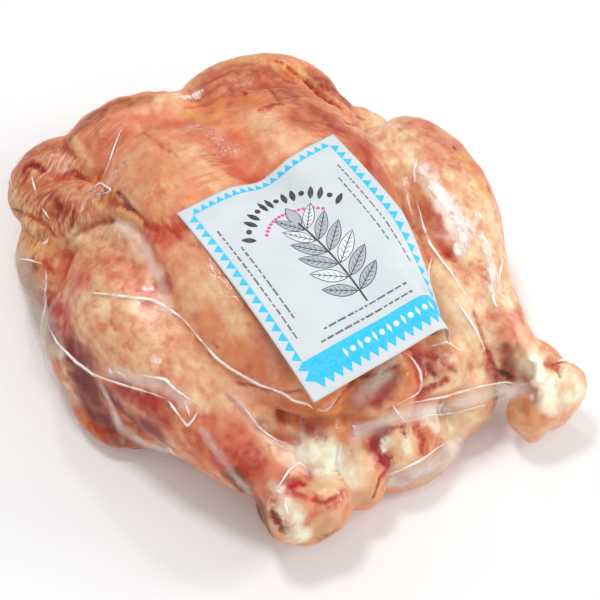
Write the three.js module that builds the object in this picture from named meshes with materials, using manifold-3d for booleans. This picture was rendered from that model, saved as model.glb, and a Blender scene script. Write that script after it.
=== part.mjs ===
// A whole raw chicken, vacuum-packed on its back in clear film, with a paper label on the breast.
// Millimetres, +Z up. The breast is up, the neck points to +Y and the tail and legs to -Y.
// The tight film and the bird under it are one closed solid, and the label lies on it as a sheet.
import * as THREE from "three";
import { mergeVertices } from "three/addons/utils/BufferGeometryUtils.js";
import Module from "manifold-3d";

const wasm = await Module();
wasm.setup();

// ---- Driving dimensions ----------------------------------------------------------------------

const KEEL_X = -17; // the breast's middle plane, before the part is centred on its box
const BASE_BLOCK = new THREE.Vector3(400, 400, 60); // the block that cuts the pack flat at Z = 0
const WELD = 1e-3; // vertices nearer than this are one

const LABEL_WIDTH = 78;
const LABEL_LENGTH = 100;
const LABEL_THICKNESS = 0.5;
const LABEL_CORNER = [-57, 33.5]; // the corner at the neck end, on the leg side
const LABEL_TURN = THREE.MathUtils.degToRad(8);
const LABEL_HEIGHT = 86; // along the edge at the neck end
const LABEL_CROWN = 8; // the sheet first rises towards the tail, then drops
const LABEL_DROP = 20;
const GROOVE_AT = 41; // the dip where the label crosses the keel, across the width
const GROOVE_WIDTH = 11;
const GROOVE_DEPTH = 6.5;
const GROOVE_REACH = 34; // the dip dies away over this length
const BEND_AT_NECK = 66; // from here across the label turns down over the far breast muscle
const BEND_AT_TAIL = 58;
const BEND_RADIUS = 8;
const BEND_ANGLE = THREE.MathUtils.degToRad(86); // at the tail end
const BEND_START = 50; // no turn down above this length

const LABEL_GAP = 0.3; // between the label's back and the film
const LABEL_MARGIN = 0.8; // clearance cut round the label's edge
const SEAT_TAPER = 0.4; // share of the way from the label's back to the breast's middle
const BREAST_MIDDLE = new THREE.Vector3(KEEL_X, 0, 22);
const POCKET_HEIGHT = 8; // flesh is pressed clear of the label up to this height
const LABEL_COLUMNS = 16;
const LABEL_ROWS = 18;
const SLOPE_STEP = 0.5; // the label's slopes are taken over this distance each way

// ---- Shapes ----------------------------------------------------------------------------------

// Half-sizes given at even steps along a limb, read off a smooth curve at t from 0 to 1.
function along(values, t) {
  const points = values.map((value, i) => new THREE.Vector3(i, value, 0));
  return new THREE.CatmullRomCurve3(points, false, "centripetal").getPoint(t).y;
}

// A rounded limb: a sphere laid along a curve. Its section is an ellipse, half wide across the
// curve and rise high, and blunt below 1 makes the two ends fuller.
function limb({ path, half, rise = half, blunt = 0.7, roll = 0, rings = 14, sides = 16 }) {
  const curve = new THREE.CatmullRomCurve3(path.map((p) => new THREE.Vector3(...p)), false, "centripetal");
  const geometry = new THREE.SphereGeometry(1, sides, rings);
  const position = geometry.getAttribute("position");
  const v = new THREE.Vector3();
  const world = new THREE.Vector3(0, 0, 1);
  for (let i = 0; i < position.count; i += 1) {
    v.fromBufferAttribute(position, i);
    const t = Math.min(1, Math.max(0, (1 - v.y) / 2));
    const ring = Math.hypot(v.x, v.z);
    const fullness = ring > 1e-6 ? Math.pow(ring, blunt) / ring : 0;
    const tangent = curve.getTangent(t);
    const across = new THREE.Vector3().crossVectors(tangent, world).normalize().applyAxisAngle(tangent, roll);
    const up = new THREE.Vector3().crossVectors(across, tangent);
    const point = curve.getPoint(t);
    point.addScaledVector(across, v.x * fullness * along(half, t));
    point.addScaledVector(up, -v.z * fullness * along(rise, t));
    position.setXYZ(i, point.x, point.y, point.z);
  }
  return geometry;
}

// A rounded lump: a sphere stretched to half-sizes [x, y, z], turned about Z, then placed.
function lump({ centre, half, turn = 0, rings = 12, sides = 16 }) {
  return new THREE.SphereGeometry(1, sides, rings)
    .rotateX(Math.PI / 2)
    .scale(...half)
    .rotateZ(turn)
    .translate(...centre);
}

// A closed geometry as a solid that can be joined and cut.
function solid(geometry) {
  const bare = geometry.clone();
  bare.deleteAttribute("normal");
  bare.deleteAttribute("uv");
  const welded = mergeVertices(bare, WELD);
  const vertProperties = welded.getAttribute("position").array;
  const triVerts = new Uint32Array(welded.index.array);
  return new wasm.Manifold(new wasm.Mesh({ numProp: 3, vertProperties, triVerts }));
}

// The one outer body of a join: air that the joined forms seal in is filled, and scraps go.
function outerBody(body) {
  return body.decompose().reduce((largest, piece) => (piece.volume() > largest.volume() ? piece : largest));
}

// A solid as a three.js geometry again.
function geometryOf(body) {
  const mesh = body.getMesh();
  const geometry = new THREE.BufferGeometry();
  geometry.setAttribute("position", new THREE.BufferAttribute(mesh.vertProperties, 3));
  geometry.setIndex(new THREE.BufferAttribute(mesh.triVerts, 1));
  return geometry;
}

// ---- The bird's forms ------------------------------------------------------------------------

// Back and ribs, from the vent to the neck.
const torso = limb({
  path: [[-8, -66, 32], [-15, -10, 36], [KEEL_X, 60, 40], [-12, 120, 36]],
  half: [28, 60, 68, 50],
  rise: [24, 38, 42, 33],
  rings: 18,
  sides: 22,
});

// The two breast muscles, with a shallow groove over the keel.
const breast = [
  limb({
    path: [[-32, -63, 54], [-40, -10, 55], [-44, 50, 56], [-42, 108, 46]],
    half: [24, 36, 42, 40],
    rise: [20, 29, 32, 32],
    rings: 20,
    sides: 22,
  }),
  limb({
    path: [[-2, -60, 53], [2, -10, 55], [8, 50, 56], [9, 108, 46]],
    half: [22, 30, 38, 38],
    rise: [20, 29, 32, 32],
    rings: 20,
    sides: 22,
  }),
];

// Each leg: the thigh low down against the body, the drumstick along it, and the two knobs of the
// bare hock.
const legs = [
  limb({ path: [[-72, -8, 24], [-92, 24, 26], [-94, 60, 30]], half: [34, 34, 28], rise: [24, 30, 30] }),
  limb({
    path: [[-84, 60, 40], [-84, 22, 42], [-74, -28, 38], [-57, -80, 30]],
    half: [26, 32, 27, 19],
    rise: [26, 32, 27, 19],
    rings: 20,
    sides: 20,
  }),
  lump({ centre: [-63, -84, 27], half: [13, 12, 15], turn: 0.3 }),
  lump({ centre: [-50, -85, 25], half: [13, 12, 15], turn: 0.3 }),
  limb({ path: [[36, -6, 28], [52, 34, 34], [62, 70, 34]], half: [30, 32, 28], rise: [28, 34, 31] }),
  limb({
    path: [[66, 70, 43], [62, 22, 42], [53, -30, 38], [57, -76, 28]],
    half: [26, 27, 19, 16],
    rise: [26, 31, 24, 16],
    rings: 20,
    sides: 20,
  }),
  lump({ centre: [54, -82, 22], half: [13, 11, 15], turn: 0.1 }),
  lump({ centre: [67, -80, 25], half: [14, 11, 15], turn: 0.1 }),
];

// The folded wings.
const wings = [
  limb({ path: [[-66, 114, 40], [-90, 112, 35], [-106, 98, 29]], half: [22, 21, 18], rise: [21, 22, 21] }),
  limb({ path: [[-106, 94, 34], [-88, 74, 46], [-64, 50, 56]], half: [18, 17, 10], rise: [18, 16, 12] }),
  lump({ centre: [-104, 76, 24], half: [20, 28, 26] }),
  limb({ path: [[38, 90, 32], [54, 82, 27], [66, 64, 24]], half: [19, 18, 15], rise: [17, 17, 17] }),
];

// Skin of the shoulders and the neck, drawn back over the front end.
const front = [
  lump({ centre: [-44, 108, 42], half: [44, 28, 28], turn: -0.1 }),
  lump({ centre: [11, 107, 41], half: [43, 30, 30], turn: -0.18 }),
  lump({ centre: [37, 86, 36], half: [20, 24, 24] }),
];

// Tail, belly fat and the skin folds between the legs.
const rear = [
  limb({ path: [[-2, -52, 32], [-6, -70, 24], [-12, -86, 13]], half: [22, 19, 10], rise: [18, 15, 9] }),
  lump({ centre: [-6, -56, 46], half: [20, 14, 14] }),
  lump({ centre: [14, -54, 40], half: [20, 15, 15] }),
  lump({ centre: [-29, -70, 20], half: [15, 22, 18] }),
  lump({ centre: [-42, -58, 26], half: [16, 20, 18], rings: 10, sides: 14 }),
  limb({ path: [[30, 4, 56], [38, -30, 48], [38, -60, 34]], half: [14, 15, 11] }),
];

// Film that bridges the hollows where the pack is drawn tight.
const webs = [
  lump({ centre: [-16, 18, 12], half: [106, 78, 30], rings: 14, sides: 30 }),
  limb({ path: [[-106, 100, 16], [-111, 60, 14], [-104, 4, 12]], half: [10, 12, 12], rise: [18, 16, 14] }),
  limb({
    path: [[-26, -80, 8], [4, -73, 9], [29, -57, 12], [50, -54, 14]],
    half: [16, 18, 13, 12],
    rise: [10, 13, 12, 12],
  }),
  limb({ path: [[14, -54, 32], [34, -60, 30], [54, -68, 26]], half: [12, 11, 9], rise: [10, 9, 9] }),
  lump({ centre: [65, -66, 28], half: [12, 14, 12], rings: 10, sides: 12 }),
];

// ---- The label -------------------------------------------------------------------------------

// A point of the label's back, u across its width and v down its length, both in millimetres.
// The sheet drops towards the tail, dips over the keel and bends down over the far muscle.
function labelPoint(u, v) {
  const down = Math.min(1, Math.max(0, (v - BEND_START) / (LABEL_LENGTH - BEND_START)));
  const angle = BEND_ANGLE * down;
  const share = v / LABEL_LENGTH;
  const past = Math.max(0, u - BEND_AT_NECK - (BEND_AT_TAIL - BEND_AT_NECK) * share);
  const turned = Math.min(past / BEND_RADIUS, angle);
  const straight = past - turned * BEND_RADIUS;
  const across = u - past + BEND_RADIUS * Math.sin(turned) + straight * Math.cos(turned);
  const fall = BEND_RADIUS * (1 - Math.cos(turned)) + straight * Math.sin(turned);
  const fromGroove = (u - GROOVE_AT) / GROOVE_WIDTH;
  const groove = GROOVE_DEPTH * Math.exp(-(fromGroove ** 2) - Math.max(0, v) / GROOVE_REACH);
  const slope = LABEL_DROP * share ** 2 - LABEL_CROWN * share;
  return new THREE.Vector3(
    LABEL_CORNER[0] + across * Math.cos(LABEL_TURN) + v * Math.sin(LABEL_TURN),
    LABEL_CORNER[1] + across * Math.sin(LABEL_TURN) - v * Math.cos(LABEL_TURN),
    LABEL_HEIGHT - fall - groove - slope,
  );
}

// A slab that follows the label, from low to high along the label's normal, grown by margin.
// Its underside is drawn in by the share taper towards the middle of the breast.
function labelSlab({ low, high, margin = 0, taper = 0 }) {
  const width = LABEL_WIDTH + 2 * margin;
  const length = LABEL_LENGTH + 2 * margin;
  const geometry = new THREE.BoxGeometry(width, length, high - low, LABEL_COLUMNS, LABEL_ROWS, 1);
  const position = geometry.getAttribute("position");
  for (let i = 0; i < position.count; i += 1) {
    const u = position.getX(i) + LABEL_WIDTH / 2;
    const v = LABEL_LENGTH / 2 - position.getY(i);
    const w = position.getZ(i) + (low + high) / 2;
    const point = labelPoint(u, v);
    const alongU = labelPoint(u + SLOPE_STEP, v).sub(labelPoint(u - SLOPE_STEP, v));
    const alongV = labelPoint(u, v - SLOPE_STEP).sub(labelPoint(u, v + SLOPE_STEP));
    point.addScaledVector(alongU.cross(alongV).normalize(), w);
    if (position.getZ(i) < 0) point.lerp(BREAST_MIDDLE, taper);
    position.setXYZ(i, point.x, point.y, point.z);
  }
  return geometry;
}

// ---- Joining ---------------------------------------------------------------------------------

const flesh = [torso, ...breast, ...legs, ...wings, ...front, ...rear, ...webs]
  .map(solid)
  .reduce((whole, piece) => whole.add(piece));
const seat = solid(labelSlab({ low: -LABEL_GAP, high: LABEL_GAP, taper: SEAT_TAPER }));
const pocket = solid(labelSlab({ low: -LABEL_GAP, high: POCKET_HEIGHT, margin: LABEL_MARGIN }));
const below = solid(new THREE.BoxGeometry(...BASE_BLOCK).translate(0, 0, -BASE_BLOCK.z / 2));
const pack = outerBody(flesh.add(seat).subtract(pocket).subtract(below));

// ---- The part --------------------------------------------------------------------------------

const chicken = new THREE.Group();

function addMesh(name, geometry, look) {
  const mesh = new THREE.Mesh(geometry, new THREE.MeshStandardMaterial({ ...look, metalness: 0 }));
  mesh.name = name;
  chicken.add(mesh);
}

addMesh("packed_chicken", geometryOf(pack), { color: 0xd9a184, roughness: 0.25 });
addMesh("label", labelSlab({ low: 0, high: LABEL_THICKNESS }), { color: 0xd6dee8, roughness: 0.7 });

// The origin is the middle of the whole part's box, at the height it rests on.
const middle = new THREE.Box3().setFromObject(chicken).getCenter(new THREE.Vector3());
chicken.children.forEach((piece) => piece.geometry.translate(-middle.x, -middle.y, 0));

export default chicken;
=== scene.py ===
# %% [markdown]
# # A whole raw chicken, vacuum-packed
# The bird lies on its back with its breast up. Clear film is drawn tight over it, and a paper label
# lies on the breast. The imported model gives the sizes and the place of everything. This script makes
# the surfaces that are seen: the skin, the film, its pleats, the label and the label's print.

# %% Load the frame
import math

import bpy
import numpy as np
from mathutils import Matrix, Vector
from mathutils.bvhtree import BVHTree


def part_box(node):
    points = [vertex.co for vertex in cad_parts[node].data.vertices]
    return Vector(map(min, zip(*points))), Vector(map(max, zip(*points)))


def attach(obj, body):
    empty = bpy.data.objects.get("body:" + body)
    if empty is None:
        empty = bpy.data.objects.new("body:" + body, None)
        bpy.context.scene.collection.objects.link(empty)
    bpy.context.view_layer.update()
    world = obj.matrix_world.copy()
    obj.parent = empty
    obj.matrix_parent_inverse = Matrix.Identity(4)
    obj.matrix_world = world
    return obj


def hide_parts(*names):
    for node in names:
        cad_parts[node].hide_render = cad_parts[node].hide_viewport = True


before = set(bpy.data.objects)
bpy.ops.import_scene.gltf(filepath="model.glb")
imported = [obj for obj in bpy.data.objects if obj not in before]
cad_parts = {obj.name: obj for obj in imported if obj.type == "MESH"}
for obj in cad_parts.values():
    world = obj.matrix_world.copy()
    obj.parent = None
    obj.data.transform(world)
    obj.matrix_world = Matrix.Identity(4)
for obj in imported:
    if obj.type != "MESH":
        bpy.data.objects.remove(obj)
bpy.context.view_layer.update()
MM = 0.001
KEEL_X = -17.0

# %% [markdown]
# ## Working in the bird's own axes
# All the forms are easier to think of from the bird's middle plane, in millimetres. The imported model
# is centred on its box, so one shift takes the bird's axes to the frame. It is read off the label,
# which has the same formula here as in the solid.

# %% The label's sheet as a formula
LABEL_WIDTH, LABEL_LENGTH = 78.0, 100.0
LABEL_CORNER = np.array([-57.0, 33.5])
LABEL_TURN = math.radians(8.0)
LABEL_HEIGHT = 86.0
LABEL_CROWN, LABEL_DROP = 8.0, 20.0
GROOVE_AT, GROOVE_WIDTH, GROOVE_DEPTH, GROOVE_REACH = 41.0, 11.0, 6.5, 34.0
BEND_AT_NECK, BEND_AT_TAIL = 66.0, 58.0
BEND_RADIUS, BEND_ANGLE, BEND_START = 8.0, math.radians(86.0), 50.0
LABEL_ACROSS = np.array([math.cos(LABEL_TURN), math.sin(LABEL_TURN)])
LABEL_DOWN = np.array([math.sin(LABEL_TURN), -math.cos(LABEL_TURN)])


def label_point(u, v):
    """A point of the label's back for u millimetres across and v down: the sheet rises then drops
    with v, dips by a bell curve over the keel, and turns down past a line on an arc of one radius."""
    u, v = np.broadcast_arrays(np.asarray(u, float), np.asarray(v, float))
    share = v / LABEL_LENGTH
    angle = BEND_ANGLE * np.clip((v - BEND_START) / (LABEL_LENGTH - BEND_START), 0, 1)
    past = np.maximum(0, u - BEND_AT_NECK - (BEND_AT_TAIL - BEND_AT_NECK) * share)
    turned = np.minimum(past / BEND_RADIUS, angle)
    straight = past - turned * BEND_RADIUS
    across = u - past + BEND_RADIUS * np.sin(turned) + straight * np.cos(turned)
    fall = BEND_RADIUS * (1 - np.cos(turned)) + straight * np.sin(turned)
    groove = GROOVE_DEPTH * np.exp(-(((u - GROOVE_AT) / GROOVE_WIDTH) ** 2) - np.maximum(0, v) / GROOVE_REACH)
    height = LABEL_HEIGHT - fall - groove - LABEL_DROP * share**2 + LABEL_CROWN * share
    plan = LABEL_CORNER + across[..., None] * LABEL_ACROSS + v[..., None] * LABEL_DOWN
    return np.concatenate([plan, height[..., None]], axis=-1)


def label_normal(u, v):
    """The sheet's outward normal: the cross product of its two slopes."""
    step = 0.5
    along_u = label_point(u + step, v) - label_point(u - step, v)
    along_v = label_point(u, v - step) - label_point(u, v + step)
    normal = np.cross(along_u, along_v)
    return normal / np.linalg.norm(normal, axis=-1, keepdims=True)


# %% Shift from the bird's axes to the frame
SOLID_LABEL_THICK = 0.5
edge = np.linspace(0, 1, 201)
rim_u = np.concatenate([0 * edge, edge * LABEL_WIDTH])
rim_v = np.concatenate([edge * LABEL_LENGTH, 0 * edge + LABEL_LENGTH])
back_rim = label_point(rim_u, rim_v)
rim = np.concatenate([back_rim, back_rim + label_normal(rim_u, rim_v) * SOLID_LABEL_THICK])
label_low = np.array(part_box("label")[0]) / MM
SHIFT = np.array([label_low[0] - rim[:, 0].min(), label_low[1] - rim[:, 1].min(), 0.0])
print("shift to the frame:", SHIFT.round(2))

# %% [markdown]
# ## The camera comes first
# Many small things on the bird, such as a red fold or a bead of fat, are easiest to place as the eye
# sees them. So the camera is set before the bird is made. A place in its picture, which is 600 across,
# gives a line of sight, and where that line meets the skin is where the mark goes. The mark then
# belongs to the skin and keeps its place from every side.

# %% Camera
PICTURE = 600
CAMERA_TURN, CAMERA_RISE = math.radians(-26), math.radians(55)
CAMERA_FAR, CAMERA_AIM = 558.0, np.array([KEEL_X, 0.0, 42.0])
CAMERA_FOCAL = 1290.0
CAMERA_BACK = np.array([
    math.sin(CAMERA_TURN) * math.cos(CAMERA_RISE),
    -math.cos(CAMERA_TURN) * math.cos(CAMERA_RISE),
    math.sin(CAMERA_RISE),
])
CAMERA_RIGHT = np.array([math.cos(CAMERA_TURN), math.sin(CAMERA_TURN), 0.0])
CAMERA_UP = np.cross(CAMERA_BACK, CAMERA_RIGHT)
CAMERA_AT = CAMERA_AIM + CAMERA_BACK * CAMERA_FAR

camera_data = bpy.data.cameras.new("camera")
camera_data.sensor_width = 36
camera_data.lens = CAMERA_FOCAL / PICTURE * camera_data.sensor_width
camera_data.clip_start = 0.01
camera = bpy.data.objects.new("camera", camera_data)
camera.location = (CAMERA_AT + SHIFT) * MM
camera.rotation_mode = "QUATERNION"
camera.rotation_quaternion = Vector(-CAMERA_BACK).to_track_quat("-Z", "Y")
bpy.context.scene.collection.objects.link(camera)
bpy.context.scene.camera = camera
print("camera at", CAMERA_AT.round(), "lens", round(camera_data.lens, 1))


# %% From a place in the picture to a point on a surface
def traced(surface, places, step=4.0):
    """The path on a surface under a line drawn in the picture: the line is cut into even steps, and
    each step's line of sight, side times right less down times up less back, is followed to a hit."""
    places = np.asarray(places, float)
    if len(places) > 1:
        lengths = np.linalg.norm(np.diff(places, axis=0), axis=1)
        so_far = np.concatenate([[0], np.cumsum(lengths)])
        even = np.linspace(0, so_far[-1], max(2, round(so_far[-1] / step) + 1))
        places = np.column_stack([np.interp(even, so_far, places[:, k]) for k in (0, 1)])
    side, down = ((places - PICTURE / 2) / CAMERA_FOCAL).T
    ways = side[:, None] * CAMERA_RIGHT - down[:, None] * CAMERA_UP - CAMERA_BACK
    hits = [surface.ray_cast(CAMERA_AT, Vector(way))[0] for way in ways]
    return np.array([hit for hit in hits if hit is not None])


def near(points, path, reach):
    """Which points lie within reach of a path, how far from it each is, and how far along it. The
    distance to a span is the distance to the nearest point of it, found by a clamped projection."""
    if len(path) == 1:
        path = np.vstack([path, path + [0, 0, 0.01]])
    boxed = ((points > path.min(0) - reach) & (points < path.max(0) + reach)).all(axis=1)
    inside = np.flatnonzero(boxed)
    here = points[inside]
    distance, along, so_far = np.full(len(here), np.inf), np.zeros(len(here)), 0.0
    for start, way in zip(path[:-1], np.diff(path, axis=0)):
        length = np.linalg.norm(way)
        share = np.clip((here - start) @ way / length**2, 0, 1)
        gap = np.linalg.norm(here - start - share[:, None] * way, axis=1)
        along = np.where(gap < distance, so_far + share * length, along)
        distance = np.minimum(gap, distance)
        so_far += length
    close = distance < reach
    return inside[close], distance[close], along[close]


# %% [markdown]
# ## Limbs and lumps
# Every form of the bird is a round shape laid along a curve. A sphere does this well: its poles
# close the two ends, and its rings become the sections. The curve is a centripetal Catmull-Rom
# spline, which passes through its points without loops.

# %% Curves and closed surfaces


def spline(points, t):
    """A centripetal Catmull-Rom curve through points, for t from 0 to 1. Each span is a cubic whose
    end slopes come from the neighbouring spans, weighed by the square root of their lengths."""
    points = np.asarray(points, float)
    padded = np.vstack([2 * points[0] - points[1], points, 2 * points[-1] - points[-2]])
    place = np.clip(np.asarray(t, float), 0, 1) * (len(points) - 1)
    span = np.minimum(place.astype(int), len(points) - 2)
    w = (place - span)[:, None]
    a, b, c, d = (padded[span + i] for i in range(4))
    gap_b = np.sqrt(np.linalg.norm(c - b, axis=1))[:, None]
    gap_a = np.sqrt(np.linalg.norm(b - a, axis=1))[:, None]
    gap_c = np.sqrt(np.linalg.norm(d - c, axis=1))[:, None]
    slope_b = ((b - a) / gap_a - (c - a) / (gap_a + gap_b) + (c - b) / gap_b) * gap_b
    slope_c = ((c - b) / gap_b - (d - b) / (gap_b + gap_c) + (d - c) / gap_c) * gap_b
    square, cube = w**2, w**3
    return (
        b * (2 * cube - 3 * square + 1)
        + c * (3 * square - 2 * cube)
        + slope_b * (cube - 2 * square + w)
        + slope_c * (cube - square)
    )


def profile(values, t):
    """Half-sizes given at even steps, read off the same kind of curve at t."""
    steps = np.column_stack([np.arange(len(values)), values, np.zeros(len(values))])
    return spline(steps, t)[:, 1]


def ball_faces(rings, sides):
    """Faces of a ball: one vertex at each pole, fans next to them and quads between the rings."""
    ring = np.arange(sides)
    after = (ring + 1) % sides
    rows = 1 + np.arange(rings - 1)[:, None] * sides
    quads = np.stack([rows + ring, rows + sides + ring, rows + sides + after, rows + after], axis=-1)
    last = 1 + rings * sides
    top = np.column_stack([np.zeros(sides, int), 1 + ring, 1 + after])
    bottom_row = 1 + (rings - 1) * sides
    bottom = np.column_stack([np.full(sides, last), bottom_row + after, bottom_row + ring])
    return [*quads.reshape(-1, 4).tolist(), *top.tolist(), *bottom.tolist()]


def limb(path, half, rise=None, blunt=0.7, grow=0.0, rings=56, sides=64):
    """A rounded limb. With s from pole to pole, t = (1 - cos s) / 2 is the place on the path, and the
    section there is an ellipse of half-sizes half(t) and rise(t), both times sin(s) to the power blunt."""
    s = np.pi * (np.arange(rings) + 1) / (rings + 1)
    t = (1 - np.cos(s)) / 2
    step = 1e-4
    tangent = spline(path, t + step) - spline(path, t - step)
    tangent /= np.linalg.norm(tangent, axis=1, keepdims=True)
    across = np.cross(tangent, [0.0, 0.0, 1.0])
    across /= np.linalg.norm(across, axis=1, keepdims=True)
    up = np.cross(across, tangent)
    fullness = np.sin(s) ** blunt
    wide = fullness * (profile(half, t) + grow)
    high = fullness * (profile(rise or half, t) + grow)
    turn = 2 * np.pi * np.arange(sides) / sides
    rings_at = spline(path, t)[:, None, :]
    body = (
        rings_at
        + (wide[:, None] * np.cos(turn))[..., None] * across[:, None, :]
        + (high[:, None] * np.sin(turn))[..., None] * up[:, None, :]
    )
    ends = spline(path, [0.0, 1.0])
    return np.vstack([ends[:1], body.reshape(-1, 3), ends[1:]]), ball_faces(rings, sides)


def lump(centre, half, turn=0.0, grow=0.0, rings=40, sides=56):
    """A rounded lump: a ball stretched to half-sizes along X, Y and Z, turned about Z and placed."""
    s = np.pi * (np.arange(rings) + 1) / (rings + 1)
    a = 2 * np.pi * np.arange(sides) / sides
    ball = np.stack(
        [np.outer(np.sin(s), np.cos(a)), np.outer(np.sin(s), np.sin(a)), np.outer(np.cos(s), np.ones(sides))],
        axis=-1,
    ).reshape(-1, 3)
    ball = np.vstack([[0, 0, 1], ball, [0, 0, -1]]) * (np.array(half, float) + grow)
    c, q = math.cos(turn), math.sin(turn)
    ball = ball @ np.array([[c, q, 0], [-q, c, 0], [0, 0, 1]])
    return ball + centre, ball_faces(rings, sides)


# %% [markdown]
# ## The forms of the bird
# The same limbs and lumps as in the solid, each with its own place. The film is a little way out from
# the skin, so the forms of the bird are a shade smaller than the solid's. The slack of a form is how
# many millimetres deeper its flesh lies where the film stands off it.

# %% Places and sizes of the forms
TORSO = [
    dict(path=[(-8, -66, 32), (-15, -10, 36), (KEEL_X, 60, 40), (-12, 120, 36)], half=[28, 60, 68, 50],
         rise=[24, 38, 42, 33]),
]
BREAST = [
    dict(path=[(-32, -60, 53), (-40, -10, 55), (-44, 50, 56), (-42, 108, 46)], half=[20, 36, 42, 40],
         rise=[18, 29, 32, 32]),
    dict(path=[(-2, -60, 53), (2, -10, 55), (8, 50, 56), (9, 108, 46)], half=[22, 30, 38, 38],
         rise=[20, 29, 32, 32]),
]
LEGS = [
    dict(path=[(-72, -8, 24), (-92, 24, 26), (-94, 60, 30)], half=[34, 34, 28], rise=[24, 30, 30], slack=1.5),
    dict(path=[(-86, 65, 41), (-84, 22, 42), (-74, -28, 38), (-57, -80, 30)], half=[26, 32, 26, 18],
         rise=[26, 32, 25, 18]),
    dict(path=[(36, -6, 28), (52, 34, 34), (62, 70, 34)], half=[30, 32, 28], rise=[28, 34, 31]),
    dict(path=[(66, 70, 43), (62, 22, 42), (53, -30, 38), (57, -76, 28)], half=[26, 27, 19, 16],
         rise=[26, 31, 24, 16]),
]
HOCKS = [
    dict(centre=(-61, -83, 27), half=(13, 12, 15), turn=0.3),
    dict(centre=(-54, -86, 21), half=(14, 11, 12)),
    dict(centre=(-47, -85, 25), half=(13, 12, 15), turn=0.3),
    dict(centre=(-61, -75, 20), half=(12, 13, 13)),
    dict(centre=(54, -82, 22), half=(13, 11, 15), turn=0.1),
    dict(centre=(67, -80, 25), half=(14, 11, 15), turn=0.1),
    dict(centre=(62, -85, 20), half=(11, 8, 13)),
    dict(centre=(51, -88, 15), half=(6, 6, 9)),
]
WINGS = [
    dict(path=[(-66, 114, 40), (-90, 112, 35), (-106, 98, 29)], half=[22, 21, 18], rise=[21, 22, 21]),
    dict(path=[(-106, 99, 35), (-88, 80, 47), (-64, 55, 57)], half=[19, 19, 11], rise=[18, 17, 12]),
    dict(path=[(38, 90, 32), (54, 82, 27), (66, 64, 24)], half=[19, 18, 15], rise=[17, 17, 17]),
]
WING_ELBOW = dict(centre=(-104, 76, 24), half=(20, 28, 26), slack=2)
FRONT = [
    dict(centre=(-44, 108, 42), half=(44, 28, 28), turn=-0.1),
    dict(centre=(11, 107, 41), half=(43, 30, 30), turn=-0.18),
    dict(centre=(37, 86, 36), half=(20, 24, 24)),
]
REAR_LIMBS = [
    dict(path=[(-2, -52, 32), (-6, -70, 24), (-12, -86, 13)], half=[22, 19, 10], rise=[18, 15, 9]),
    dict(path=[(30, 4, 56), (38, -30, 48), (38, -60, 34)], half=[14, 15, 11]),
]
REAR_LUMPS = [
    dict(centre=(-6, -56, 46), half=(20, 14, 14)),
    dict(centre=(14, -54, 40), half=(20, 15, 15)),
    dict(centre=(-29, -70, 20), half=(15, 22, 18)),
    dict(centre=(-42, -58, 26), half=(16, 20, 18)),
    dict(path=[(-28, -48, 46), (-38, -60, 36), (-46, -74, 28)], half=[14, 13, 10], rise=[10, 11, 10]),
]
# the places that the film bridges, which have no flesh up to the film
WEB_LIMBS = [
    dict(path=[(-104, 113, 18), (-110, 100, 16), (-112, 64, 14), (-111, 28, 12), (-110, -3, 11),
               (-88, -24, 10)],
         half=[10, 11, 13, 15, 15, 9], rise=[16, 18, 16, 13, 12, 9]),
    dict(path=[(-26, -80, 8), (4, -73, 9), (29, -57, 12), (50, -54, 14)], half=[16, 18, 13, 12],
         rise=[10, 13, 12, 12]),
    dict(path=[(14, -54, 32), (34, -60, 30), (54, -68, 26)], half=[12, 11, 9], rise=[10, 9, 9]),
]
WEB_LUMPS = [
    dict(centre=(-16, 18, 12), half=(106, 78, 30)),
    dict(centre=(65, -66, 28), half=(12, 14, 12)),
]
BACK = dict(centre=(-16, 10, 13), half=(100, 70, 20), slack=6)
BIRD = TORSO + BREAST + LEGS + WINGS + REAR_LIMBS + HOCKS + FRONT + REAR_LUMPS + [WING_ELBOW, BACK]
WEBS = WEB_LIMBS + WEB_LUMPS
# flesh and fat that fill some of those places, a little way inside the film
UNDER_WEBS = [
    dict(path=[(-102, 110, 17), (-108, 92, 15), (-108, 58, 12), (-109, 27, 11), (-108, -2, 10),
               (-87, -23, 9)],
         half=[9, 9, 11, 13, 14, 8], rise=[14, 13, 12, 11, 10, 8]),
    dict(path=[(16, -50, 34), (30, -60, 28), (44, -65, 25)], half=[12, 12, 9], rise=[10, 10, 8]),
    dict(path=[(-22, -76, 7), (4, -71, 8), (26, -62, 13)], half=[13, 16, 12], rise=[8, 11, 12]),
    dict(path=[(16, -68, 11), (32, -66, 16), (46, -63, 20)], half=[14, 11, 9], rise=[11, 10, 9]),
    dict(centre=(65, -67, 27), half=(11, 13, 11)),
]


def surfaces(forms, grow, slack_share=0.0):
    """The limb or lump of each form, its half-sizes changed by grow millimetres. Where the film is
    slack over a form, the flesh also lies deeper by the form's own slack."""
    made = []
    for form in forms:
        form = dict(form)
        change = grow - slack_share * form.pop("slack", 0)
        made.append((limb if "path" in form else lump)(**form, grow=change))
    return made


# %% [markdown]
# ## One skin over all the forms
# The forms overlap, and a skin has no seams where they meet. Blender's voxel remesh turns them into
# one closed surface of even quads. A few rounds of averaging with the neighbours then soften the
# joins. Sculpting by hand could do this too, but this way the same numbers always give the same bird.

# %% Joining, remeshing and smoothing
SKIN_VOXEL, FILM_VOXEL = ((1.35, 1.4))
SKIN_ROUNDS, FILM_ROUNDS = ((14, 22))


def mesh_object(name, points, faces, smooth=True):
    """A mesh object from points in the bird's axes, placed in the frame and left at the origin."""
    mesh = bpy.data.meshes.new(name)
    mesh.from_pydata(((np.asarray(points) + SHIFT) * MM).tolist(), [], faces)
    mesh.polygons.foreach_set("use_smooth", np.full(len(mesh.polygons), smooth))
    mesh.update()
    thing = bpy.data.objects.new(name, mesh)
    bpy.context.scene.collection.objects.link(thing)
    return thing


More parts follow.
